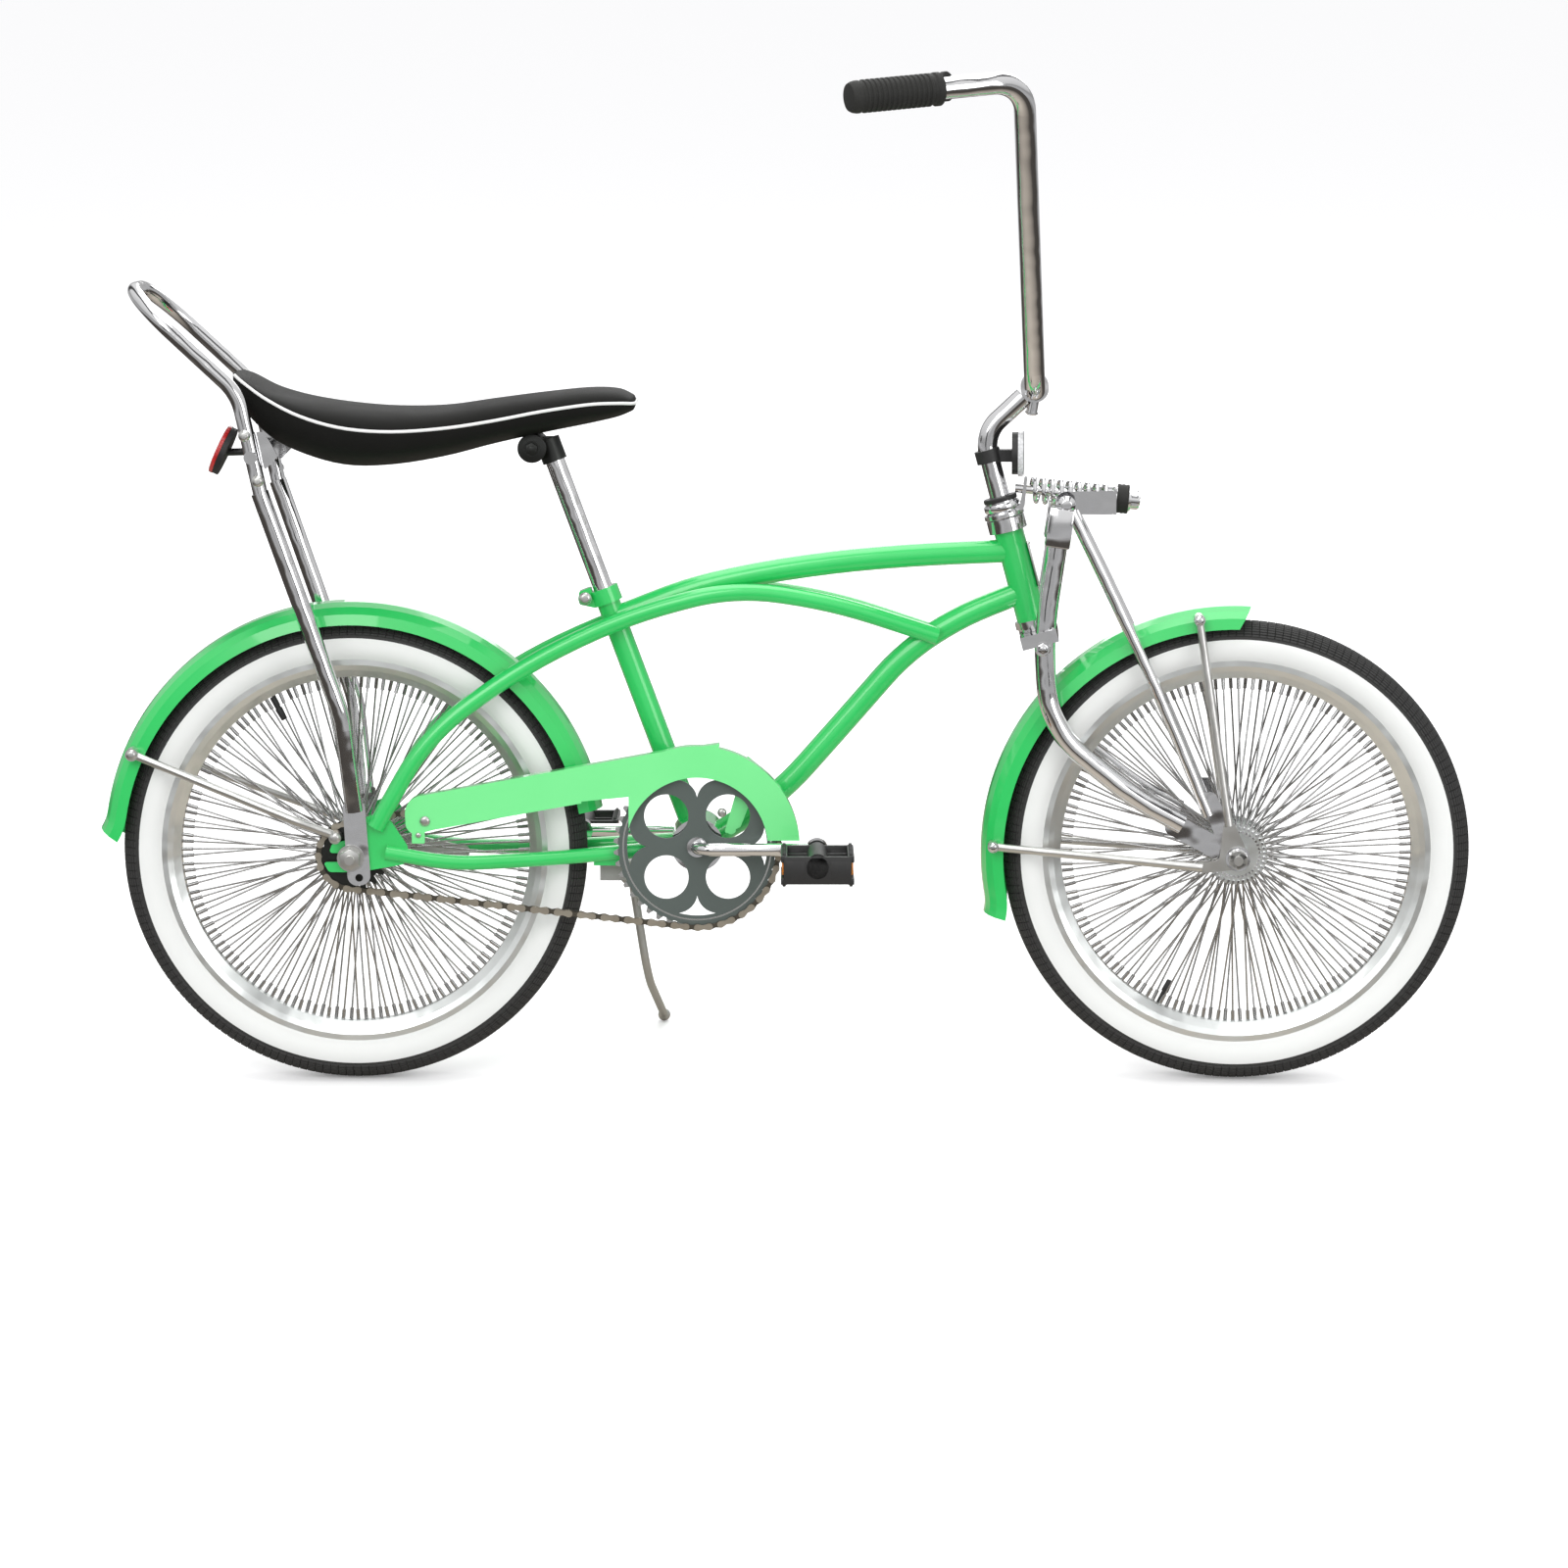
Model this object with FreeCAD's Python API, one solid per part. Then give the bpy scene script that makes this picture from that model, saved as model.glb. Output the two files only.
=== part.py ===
import FreeCAD, Part

import math
import os

from FreeCAD import Vector

# A chopper bicycle: low frame with twin camel-back tubes, springer fork, high-rise bar,
# banana saddle with a sissy bar, and wire wheels with 144 spokes.
# It is drawn upright and straight in its own frame: X forward from the rear axle, Y to the
# rider's left, Z up from the ground. Then the front end is turned to its parked angle and the
# whole bicycle leans on its side stand. All lengths are millimetres, all angles degrees.

# Wheels
TYRE_RADIUS = 254.0
TYRE_SECTION = 25.4
TYRE_HEIGHT = 43.0
RIM_DEPTH = 20.0
RIM_OUTER = TYRE_RADIUS - TYRE_HEIGHT
RIM_INNER = RIM_OUTER - RIM_DEPTH
RIM_HALF_WIDTH = 16.5
RIM_SHOULDER = 13.0
RIM_NOSE = 7.0
WHEELBASE = 964.0
SPOKE_COUNT = 144
SPOKE_RADIUS = 1.0
NIPPLE_RADIUS = 2.0
NIPPLE_LENGTH = 12.0
NIPPLE_GAP = 0.45
SPOKE_RIM_OFFSET = 2.6
SPOKE_LACE = 9.0
SPOKE_SEAT = 0.2
FLANGE_RADIUS = 33.5
FLANGE_HOLES = 30.0
FLANGE_THICK = 3.0
FRONT_FLANGE_Y = 26.0
REAR_FLANGE_Y = 24.0
FRONT_HUB_BODY = 13.0
REAR_HUB_BODY = 18.0
FRONT_HUB_END = 39.0
REAR_HUB_LEFT = 44.0
REAR_HUB_RIGHT = 33.0
AXLE_RADIUS = 5.0
RUNNING_FIT = 0.05
SEAT_GAP = 0.3

# Stance
LEAN = 7.0
PARKED_STEER = 3.0
ORIGIN_X = 469.1
ORIGIN_Y = 129.0

# Frame tubes
HEAD_ANGLE = 75.0
HEAD_TO_AXLE = 251.0
HEAD_RISE = 350.3
HEAD_LENGTH = 100.0
HEAD_RADIUS = 16.0
MAIN_RADIUS = 12.7
TWIN_RADIUS = 9.5
STAY_RADIUS = 8.0
SEAT_TUBE_RADIUS = 12.7
SEAT_TUBE_BACK = 102.5
SEAT_TUBE_RISE = 277.5
BRACKET_GAP = 121.0
BRACKET_RISE = 10.0
BRACKET_SHELL_RADIUS = 28.5
BRACKET_SHELL_BORE = 25.0
BRACKET_HALF = 34.0
DROPOUT_Y = 55.0
DROPOUT_THICK = 5.0

# Drive
CHAINLINE = 47.0
RING_TEETH = 44
SPROCKET_TEETH = 18
CHAIN_PITCH = 12.7
TOOTH_THICK = 2.4
CHAIN_SLOT = 1.9
CHAIN_PLATE = 1.2
CHAIN_HALF_HEIGHT = 4.2
CRANK_LENGTH = 130.0
CRANK_Y = 69.0
CRANK_RADIUS = 7.0
SPINDLE_RADIUS = 11.0
CRANK_BEND = 17.0
PEDAL_INNER = 84.0
PEDAL_WIDTH = 80.0
PEDAL_HALF_LENGTH = 40.0
PEDAL_HALF_HEIGHT = 18.0
PEDAL_DROP = 7.0

# Steering
STEERER_RADIUS = 12.7
LEG_RADIUS = 11.0
LEG_Y = 47.0
STRUT_RADIUS = 6.5
BAR_RADIUS = 11.1
GRIP_RADIUS = 17.0
GRIP_LENGTH = 96.0
STEM_RADIUS = 10.8
FORK_PLATE_Y = 45.0
FORK_PLATE_THICK = 4.0

# Fenders
FENDER_GAP = 21.0
FENDER_DEPTH = 25.0
FENDER_RADIUS = TYRE_RADIUS + FENDER_GAP
FENDER_EDGE = FENDER_RADIUS - FENDER_DEPTH
FENDER_HALF_WIDTH = 32.0
FENDER_WALL = 1.6
FLARE_RADIUS = 45.0
FLARE_ANGLE = 24.0
STAY_ROD = 4.6

# Sissy bar and saddle
HOOP_RADIUS = 8.0
LOWER_LEG_RADIUS = 9.5
HOOP_Y = 85.0
POST_RADIUS = 10.5

# Side stand
STAND_RADIUS = 4.6
STAND_PIVOT = (-76.0, 46.0, -38.0)
STAND_KNEE = (-57.0, 52.0, -164.0)
STAND_FOOT = (-43.0, 190.0)
STAND_TILT = 8.0
STAND_FOOT_RADIUS = 7.0

REAR_AXLE = Vector(0, 0, TYRE_RADIUS)
FRONT_AXLE = Vector(WHEELBASE, 0, TYRE_RADIUS)
Y_AXIS = Vector(0, 1, 0)
HEAD_UP = Vector(-math.cos(math.radians(HEAD_ANGLE)), 0, math.sin(math.radians(HEAD_ANGLE)))
HEAD_TOP = FRONT_AXLE + Vector(-HEAD_TO_AXLE, 0, HEAD_RISE)
BRACKET = REAR_AXLE + Vector(TYRE_RADIUS + BRACKET_GAP, 0, BRACKET_RISE)
SEAT_TOP = BRACKET + Vector(-SEAT_TUBE_BACK, 0, SEAT_TUBE_RISE)
SEAT_UP = (SEAT_TOP - BRACKET).normalize()
RING_PITCH_RADIUS = CHAIN_PITCH / (2 * math.sin(math.pi / RING_TEETH))
SPROCKET_PITCH_RADIUS = CHAIN_PITCH / (2 * math.sin(math.pi / SPROCKET_TEETH))

nodes = {}
steered = set()


def add(name, shape, turns=False):
    nodes[name] = shape
    if turns:
        steered.add(name)


def fuse(shapes):
    first, rest = shapes[0], shapes[1:]
    return first.multiFuse(rest).removeSplitter() if rest else first


def rod(start, end, radius):
    start, end = Vector(*start), Vector(*end)
    return Part.makeCylinder(radius, (end - start).Length, start, end - start)


def disc(centre, radius, y0, y1):
    return Part.makeCylinder(radius, y1 - y0, Vector(centre[0], y0, centre[2]), Y_AXIS)


def pair(shape):
    return [shape, shape.mirror(Vector(0, 0, 0), Y_AXIS)]


def off(origin, dx, y, dz):
    """A point at dx and dz from an axle or joint, and at y from the bicycle's middle."""
    return Vector(origin.x + dx, y, origin.z + dz)


def out_from(centre, radius, degrees, y):
    """A point beside a wheel, at a radius from its axle and an angle up from +X."""
    angle = math.radians(degrees)
    return off(centre, radius * math.cos(angle), y, radius * math.sin(angle))


def around(origin, corners):
    return [(origin.x + x, origin.z + z, r) for x, z, r in corners]


def outside(shape):
    """The largest solid, which is what is left outside once a thin wall has cut the shape."""
    return max(shape.Solids, key=lambda solid: solid.Volume)


def rounded_path(points, bend=None, closed=False):
    """Edges along the points, each corner an arc of radius bend, or as large as its runs allow."""
    points = [Vector(*p) for p in points]
    count = len(points)
    edges, ends = [], []
    corners = range(count) if closed else range(1, count - 1)
    for i in corners:
        corner, before, after = points[i], points[i - 1], points[(i + 1) % count]
        back, ahead = before - corner, after - corner
        room = 0.47 * min(back.Length, ahead.Length)
        back.normalize()
        ahead.normalize()
        half = (math.pi - back.getAngle(ahead)) / 2
        want = bend[i] if isinstance(bend, (list, tuple)) else bend
        tangent = room if want is None else min(want * math.tan(half), room)
        radius = tangent / math.tan(half)
        middle = corner + (back + ahead).normalize() * (radius / math.cos(half) - radius)
        ends.append((corner + back * tangent, middle, corner + ahead * tangent))
    if closed:
        last = ends[-1][2]
    else:
        last = points[0]
    for first, middle, second in ends:
        if (first - last).Length > 1e-4:
            edges.append(Part.LineSegment(last, first).toShape())
        if (second - first).Length > 1e-4:
            edges.append(Part.Arc(first, middle, second).toShape())
        last = second
    if not closed and (points[-1] - last).Length > 1e-4:
        edges.append(Part.LineSegment(last, points[-1]).toShape())
    return edges


def bent_tube(points, radius, bend=None):
    path = Part.Wire(rounded_path(points, bend))
    start, following = Vector(*points[0]), Vector(*points[1])
    profile = Part.Wire([Part.makeCircle(radius, start, following - start)])
    return path.makePipeShell([profile], True, False)


def plate(corners, y0, y1):
    """A plate across Y; corners are (x, z, corner radius)."""
    points = [(x, y0, z) for x, z, r in corners]
    wire = Part.Wire(rounded_path(points, [max(r, 0.01) for x, z, r in corners], True))
    return Part.Face(wire).extrude(Vector(0, y1 - y0, 0))


def turned(profile, centre):
    """A solid turned about the Y axis through centre; profile points are (y, radius)."""
    points = [Vector(centre.x, y, centre.z + r) for y, r in profile]
    wire = Part.makePolygon(points + points[:1])
    return Part.Face(wire).revolve(centre, Y_AXIS, 360)


def along_head(distance):
    return HEAD_TOP + HEAD_UP * distance


# Wheels

def tyre(centre):
    mid = TYRE_RADIUS - TYRE_SECTION
    steps = 7
    drop = math.asin((mid - RIM_OUTER) / TYRE_SECTION)
    sweep = math.pi + 2 * drop
    ring = []
    for i in range(steps + 1):
        angle = -drop + sweep * i / steps
        ring.append((TYRE_SECTION * math.cos(angle), mid + TYRE_SECTION * math.sin(angle)))
    return turned(ring, centre)


def rim(centre):
    wall = RIM_OUTER - RIM_INNER
    right = [(RIM_HALF_WIDTH, RIM_OUTER), (RIM_HALF_WIDTH, RIM_OUTER - wall * 0.3),
             (RIM_SHOULDER, RIM_OUTER - wall * 0.6), (RIM_NOSE, RIM_INNER)]
    left = [(-y, r) for y, r in reversed(right)]
    return turned(right + left, centre)


def hub(centre, flange_y, body, right_end, left_end):
    inner, outer = flange_y - FLANGE_THICK / 2, flange_y + FLANGE_THICK / 2
    bore = AXLE_RADIUS + RUNNING_FIT
    nose = body * 0.85
    profile = [(-right_end, bore), (-right_end, nose), (-outer, nose), (-outer, FLANGE_RADIUS),
               (-inner, FLANGE_RADIUS), (-inner, body), (inner, body), (inner, FLANGE_RADIUS),
               (outer, FLANGE_RADIUS), (outer, nose), (left_end, nose), (left_end, bore)]
    return turned(profile, centre)


def spokes(centre, flange_y):
    made = []
    for i in range(SPOKE_COUNT):
        side = 1 if i % 2 else -1
        outside = 1 if (i // 2) % 2 else -1
        at_rim = math.radians(360.0 * i / SPOKE_COUNT)
        at_hub = at_rim + math.radians(SPOKE_LACE * outside)
        seat = FLANGE_THICK / 2 + SPOKE_RADIUS + SPOKE_SEAT
        reach = RIM_INNER - NIPPLE_GAP
        start = centre + Vector(FLANGE_HOLES * math.cos(at_hub), side * (flange_y + outside * seat),
                                FLANGE_HOLES * math.sin(at_hub))
        end = centre + Vector(reach * math.cos(at_rim), side * SPOKE_RIM_OFFSET,
                              reach * math.sin(at_rim))
        shoulder = end + (start - end).normalize() * NIPPLE_LENGTH
        made.append(fuse([rod(start, shoulder, SPOKE_RADIUS), rod(shoulder, end, NIPPLE_RADIUS)]))
    return Part.makeCompound(made)


def wheel(prefix, centre, flange_y, body, right_end, left_end):
    turns = prefix == "front"
    add(prefix + "_tyre", tyre(centre), turns)
    add(prefix + "_rim", rim(centre), turns)
    add(prefix + "_hub", hub(centre, flange_y, body, right_end, left_end), turns)
    add(prefix + "_spokes", spokes(centre, flange_y), turns)


wheel("front", FRONT_AXLE, FRONT_FLANGE_Y, FRONT_HUB_BODY, FRONT_HUB_END, FRONT_HUB_END)
wheel("rear", REAR_AXLE, REAR_FLANGE_Y, REAR_HUB_BODY, REAR_HUB_RIGHT, REAR_HUB_LEFT)


# Frame

def frame():
    head = rod(HEAD_TOP, along_head(-HEAD_LENGTH), HEAD_RADIUS)
    top = bent_tube([off(SEAT_TOP, 11.5, 0, -33.5), off(SEAT_TOP, 100.5, 0, 1.5),
                     off(SEAT_TOP, 181.5, 0, 18.5), off(HEAD_TOP, -180, 0, -33.3),
                     off(HEAD_TOP, -95, 0, -26.3), off(HEAD_TOP, 1, 0, -22.3)], MAIN_RADIUS)
    down = bent_tube([off(BRACKET, 1, 0, -6), off(BRACKET, 87, 0, 48), off(BRACKET, 161, 0, 132),
                      off(HEAD_TOP, -113, 0, -134.3), off(HEAD_TOP, -53, 0, -94.3),
                      off(HEAD_TOP, 17, 0, -66.3)], MAIN_RADIUS)
    seat = rod(BRACKET, SEAT_TOP, SEAT_TUBE_RADIUS)
    twin = bent_tube([off(REAR_AXLE, 27, -61, 33), off(REAR_AXLE, 84, -56, 134),
                      out_from(REAR_AXLE, FENDER_RADIUS + 6.7, 47.6, -38),
                      off(SEAT_TOP, 27.5, -20, -28.5), off(SEAT_TOP, 142.5, -19, 1.5),
                      off(HEAD_TOP, -193, -19, -76.3), off(HEAD_TOP, -77, -13, -114.3)],
                     TWIN_RADIUS)
    stay = bent_tube([off(REAR_AXLE, 38, -60, 6), off(REAR_AXLE, 110, -60, -7),
                      off(BRACKET, -160, -43, -14), off(BRACKET, -75, -30, -8),
                      off(BRACKET, -3, -24, -2)], STAY_RADIUS)
    shell = disc(BRACKET, BRACKET_SHELL_RADIUS, -BRACKET_HALF, BRACKET_HALF)
    slot = AXLE_RADIUS + RUNNING_FIT
    corners = [(16, 44, 6), (36, 52, 6), (62, 12, 8), (60, -7, 8), (8, -16, 6), (-24, -16, 6),
               (-30, -slot, 2), (6, -slot, 5), (6, slot, 5), (-24, slot, 3), (-20, 16, 6),
               (4, 20, 10)]
    dropout = plate(around(REAR_AXLE, corners), -DROPOUT_Y - DROPOUT_THICK, -DROPOUT_Y)
    stand_plate = Part.makeBox(38, 68, 9, off(BRACKET, -113, -34, -23))
    shapes = [head, top, down, seat, shell, stand_plate] + pair(twin) + pair(stay) + pair(dropout)
    body = fuse(shapes)
    body = body.cut(rod(along_head(1), along_head(-HEAD_LENGTH - 1), STEERER_RADIUS + 1.0))
    body = body.cut(disc(BRACKET, BRACKET_SHELL_BORE, -BRACKET_HALF - 1, BRACKET_HALF + 1))
    post_foot = SEAT_TOP - SEAT_UP * 90
    return body.cut(rod(post_foot, SEAT_TOP + SEAT_UP, POST_RADIUS))


add("frame", frame())

cup_low = rod(along_head(-HEAD_LENGTH), along_head(-HEAD_LENGTH - 8), 19.0)
cup_high = rod(HEAD_TOP, along_head(14), 21.0)
steerer_hole = rod(along_head(20), along_head(-HEAD_LENGTH - 12), STEERER_RADIUS + RUNNING_FIT)
add("headset_cups", Part.makeCompound([cup_low.cut(steerer_hole), cup_high.cut(steerer_hole)]))


def bracket_cup(side):
    inner = disc(BRACKET, BRACKET_SHELL_BORE, BRACKET_HALF - 8, BRACKET_HALF)
    lip = disc(BRACKET, BRACKET_SHELL_RADIUS, BRACKET_HALF, BRACKET_HALF + 4)
    hole = disc(BRACKET, SPINDLE_RADIUS + RUNNING_FIT, 0, BRACKET_HALF + 8)
    cup = fuse([inner, lip]).cut(hole)
    return cup if side > 0 else cup.mirror(Vector(0, 0, 0), Y_AXIS)


add("bottom_bracket_cups", Part.makeCompound([bracket_cup(1), bracket_cup(-1)]))


# Seat post, its collar and the saddle

POST_LENGTH = 150.4
POST_TOP = SEAT_TOP + SEAT_UP * POST_LENGTH


def collar():
    low, high = SEAT_TOP - SEAT_UP * 17, SEAT_TOP
    ring = rod(low, high, SEAT_TUBE_RADIUS + 3.5)
    corners = [(-26, -17.5, 4), (-7, -21.5, 2), (-13, 1.5, 2), (-26, -3.5, 4)]
    ear = plate(around(SEAT_TOP, corners), -8, 8)
    hole = rod(SEAT_TOP - SEAT_UP * 40, SEAT_TOP + SEAT_UP * 5, SEAT_TUBE_RADIUS)
    bolt = rod(off(SEAT_TOP, -19, -13, -10.5), off(SEAT_TOP, -19, 13, -10.5), 4.0)
    head = rod(off(SEAT_TOP, -19, -13, -10.5), off(SEAT_TOP, -19, -8, -10.5), 7.5)
    return fuse([fuse([ring, ear]).cut(hole), bolt, head])


add("seat_collar", collar())
add("seat_post", rod(SEAT_TOP - SEAT_UP * 85, POST_TOP, POST_RADIUS))


def saddle_clamp():
    post = rod(POST_TOP - SEAT_UP * 3, POST_TOP + SEAT_UP * 22, POST_RADIUS + 3)
    post = post.cut(rod(POST_TOP - SEAT_UP * 20, POST_TOP, POST_RADIUS))
    boss = disc(off(POST_TOP, -22.4, 0, 12.4), 15, -28, 28)
    corners = [(-32.4, 7.4, 2), (5.6, 7.4, 2), (1.6, 23.4, 2), (-34.4, 23.4, 2)]
    web = plate(around(POST_TOP, corners), -10, 10)
    web = web.cut(rod(POST_TOP - SEAT_UP * 20, POST_TOP, POST_RADIUS))
    return fuse([post, boss, web])


def saddle():
    # x, lowest z and highest z from the post's top, half width
    stations = [(-342.4, 51.4, 92.4, 62), (-300.4, 19.4, 76.4, 84), (-220.4, -7.6, 60.4, 92),
                (-130.4, 0.4, 57.4, 84), (-50.4, 19.4, 67.4, 70), (29.6, 36.4, 77.4, 62),
                (79.6, 45.4, 75.4, 50), (88.6, 50.4, 66.4, 40)]
    wires = []
    for x, low, high, half in stations:
        corners = [(x, -half, low), (x, half, low), (x, half, high), (x, -half, high)]
        corners = [POST_TOP + Vector(*corner) for corner in corners]
        wires.append(Part.Wire(rounded_path(corners, 0.42 * (high - low), True)))
    return Part.makeLoft(wires, True, True)


add("saddle", saddle())
add("saddle_clamp", saddle_clamp().cut(nodes["saddle"]))


# Sissy bar

HOOP_START = (-304.4, -50.6)
HOOP_JOIN = (-309.4, -30.6)
HOOP_ELBOW = (-331.4, 74.4)
HOOP_TOP = (-446.4, 182.4)
BRACKET_BOLT = (-317.4, 7.4)
SPARE_HOLE = (9.0, -21.5)
PLATE_IN = DROPOUT_Y + DROPOUT_THICK
PLATE_THICK = 4.0


def hoop():
    side = [off(POST_TOP, x, -HOOP_Y, z) for x, z in (HOOP_START, HOOP_ELBOW, HOOP_TOP)]
    far = [(x, -y, z) for x, y, z in reversed(side)]
    bends = [0, 60.0, 68.0, 68.0, 60.0, 0]
    return bent_tube(side + far, HOOP_RADIUS, bends)


def sissy_leg():
    join = off(POST_TOP, HOOP_JOIN[0], -HOOP_Y, HOOP_JOIN[1])
    tube = bent_tube([join, off(REAR_AXLE, -6, -77, 156), off(REAR_AXLE, 5, -66, 52)],
                     LOWER_LEG_RADIUS, 120.0)
    corners = [(-8, 60, 4), (16, 60, 4), (22, -28, 11), (-3, -32, 11)]
    end = plate(around(REAR_AXLE, corners), -PLATE_IN - PLATE_THICK, -PLATE_IN)
    leg = fuse([tube, end])
    leg = leg.cut(disc(REAR_AXLE, AXLE_RADIUS + RUNNING_FIT, -90, -40))
    return leg.cut(disc(off(REAR_AXLE, SPARE_HOLE[0], 0, SPARE_HOLE[1]), 4.2, -90, -40))


add("sissy_hoop", hoop())
add("sissy_legs", Part.makeCompound([s.cut(nodes["sissy_hoop"]) for s in pair(sissy_leg())]))


def bracket_bolt_at(y):
    return off(POST_TOP, BRACKET_BOLT[0], y, BRACKET_BOLT[1])


def saddle_bracket():
    corners = [(-324.4, 33.4, 2), (-304.4, 33.4, 2), (-290.4, 7.4, 2), (-304.4, -6.6, 2),
               (-322.4, 7.4, 2)]
    strap = plate(around(POST_TOP, corners), -HOOP_Y + HOOP_RADIUS + 1, -HOOP_Y + HOOP_RADIUS + 4)
    bolt = rod(bracket_bolt_at(-HOOP_Y - 12), bracket_bolt_at(-HOOP_Y + 14), 4.0)
    cap = rod(bracket_bolt_at(-HOOP_Y - 14), bracket_bolt_at(-HOOP_Y - HOOP_RADIUS - 0.5), 7.0)
    return fuse([strap, bolt, cap])


bracket_shape = Part.makeCompound(
    [s.cut(nodes["sissy_hoop"]).cut(nodes["saddle"]) for s in pair(saddle_bracket())])
add("saddle_bracket", bracket_shape)


def rear_reflector():
    face = off(POST_TOP, -353.4, 0, 6.4)
    tilt = Vector(-0.9, 0, 0.42).normalize()
    dish = Part.makeCylinder(27, 8, face, tilt)
    strap = rod(face, bracket_bolt_at(0), 4.0)
    bar = rod(bracket_bolt_at(-HOOP_Y + 14), bracket_bolt_at(HOOP_Y - 14), 4.0)
    return fuse([dish, strap, bar])


add("rear_reflector", rear_reflector())


# Fenders

def fender_profile(centre):
    arch = []
    steps = 8
    height = FENDER_RADIUS - FENDER_EDGE
    for wall, order in ((0.0, 1), (FENDER_WALL, -1)):
        line = []
        for i in range(steps + 1):
            angle = math.pi * i / steps
            y = (FENDER_HALF_WIDTH - wall) * math.cos(angle)
            r = FENDER_EDGE + (height - wall) * math.sin(angle) ** 0.8
            line.append((y, r))
        arch += line[::order]
    points = [Vector(centre.x, y, centre.z + r) for y, r in arch]
    return Part.Face(Part.makePolygon(points + points[:1]))


def fender(centre, first, last, flare_first, flare_last):
    """An arched guard from angle first to last, in degrees up from +X; its ends may flare."""
    face = fender_profile(centre)
    face.rotate(centre, Y_AXIS, 90 - first)
    shapes = [face.revolve(centre, Y_AXIS, first - last)]
    for angle, flare in ((first, -flare_first), (last, flare_last)):
        if flare:
            end = fender_profile(centre)
            end.rotate(centre, Y_AXIS, 90 - angle)
            reach = FENDER_RADIUS + FLARE_RADIUS
            hinge = centre + Vector(reach * math.cos(math.radians(angle)), 0,
                                    reach * math.sin(math.radians(angle)))
            shapes.append(end.revolve(hinge, Y_AXIS, flare))
    return fuse(shapes)


FRONT_FENDER_FROM, FRONT_FENDER_TO = 85.0, 190.0
REAR_FENDER_FROM, REAR_FENDER_TO = 10.0, 171.0
FRONT_FENDER_CENTRE = off(FRONT_AXLE, -4, 0, -3)
front_guard = fender(FRONT_FENDER_CENTRE, FRONT_FENDER_FROM, FRONT_FENDER_TO, 0, FLARE_ANGLE)
slant = [(26, 290, 0), (90, 290, 0), (90, 225, 0), (-11, 225, 0)]
front_guard = front_guard.cut(plate(around(off(FRONT_FENDER_CENTRE, 0, 0, FENDER_RADIUS - 275),
                                           slant), -60, 60))
add("front_fender", front_guard, True)
add("rear_fender", fender(REAR_AXLE, REAR_FENDER_FROM, REAR_FENDER_TO, 0, FLARE_ANGLE))


STAY_EYE_Y = PLATE_IN + PLATE_THICK


def rear_stay():
    radius, angle = FENDER_RADIUS - 12.8, 155.2
    rear = bent_tube([out_from(REAR_AXLE, radius, angle, -38), off(REAR_AXLE, -60, -60, 40),
                      off(REAR_AXLE, -20, -STAY_EYE_Y + 6, 25)], STAY_ROD, 60.0)
    foot = rod(out_from(REAR_AXLE, radius, angle, -20), out_from(REAR_AXLE, radius, angle, -44),
               7.0)
    eye = rod(off(REAR_AXLE, -16, -DROPOUT_Y, 23), off(REAR_AXLE, -16, -STAY_EYE_Y - 6, 23), 6.5)
    stay = fuse([rear, foot, eye]).cut(nodes["frame"]).cut(nodes["sissy_legs"])
    return outside(stay.cut(nodes["rear_fender"]))


add("rear_fender_stays", Part.makeCompound(pair(rear_stay())))


# Chain guard, chain, chainring, sprocket

GUARD_FACE = 57.0
GUARD_INNER = 42.0
GUARD_WALL = 1.6
GUARD_RADIUS = 111.5
GUARD_CUT = 77.0


def guard_solid(inset, drop, y0, y1):
    rear = [(60 + inset, 22 - drop, 16), (58 + inset, 64 - inset, 20)]
    front = [(-45, 104 - inset, 1), (25, 114 - inset, 1), (5, 6, 1), (-75, 58 - drop, 1)]
    under = [(90, 30 - drop, 1)]
    bar = plate(around(REAR_AXLE, rear) + around(BRACKET, front) + around(REAR_AXLE, under),
                y0, y1)
    return fuse([bar, disc(BRACKET, GUARD_RADIUS - inset, y0, y1)])


def chain_guard():
    outer = guard_solid(0, 0, -GUARD_FACE, -GUARD_INNER)
    pocket = guard_solid(GUARD_WALL, 12, -GUARD_FACE + GUARD_WALL, -GUARD_INNER + 1)
    body = outer.cut(pocket)
    body = body.cut(disc(BRACKET, GUARD_CUT, -90, 0))
    body = body.cut(Part.makeBox(260, 90, 140, off(BRACKET, -74, -100, 8 - 140)))
    corners = [(-125, -124, 0), (-74, -124, 0), (-74, 56, 0), (-125, 51, 0)]
    body = body.cut(plate(around(BRACKET, corners), -100, -10))
    notch = Part.makeBox(12, GUARD_FACE - GUARD_WALL - GUARD_INNER + 1, 28,
                         off(REAR_AXLE, 50, -GUARD_FACE + GUARD_WALL, 32))
    body = body.cut(notch)
    corners = [(66, 15, 1), (80, 15, 1), (80, 32, 1), (66, 32, 1)]
    tab = plate(around(REAR_AXLE, corners), -GUARD_FACE, -GUARD_FACE + GUARD_WALL)
    corners = [(29, 12, 2), (47, 20, 2), (71, 82, 2), (53, 96, 2)]
    arm = plate(around(BRACKET, corners), -38, -36)
    stud = rod(off(BRACKET, 37, -38, 17), off(BRACKET, 37, -10, 17), 5.0)
    corners = [(53, 95.5, 1), (71, 81.5, 1), (72, 84, 1), (55, 98, 1)]
    lip = plate(around(BRACKET, corners), -GUARD_INNER, -36)
    return fuse([body, tab, arm, lip, stud])


add("chain_guard", outside(chain_guard().cut(nodes["frame"])))


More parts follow.
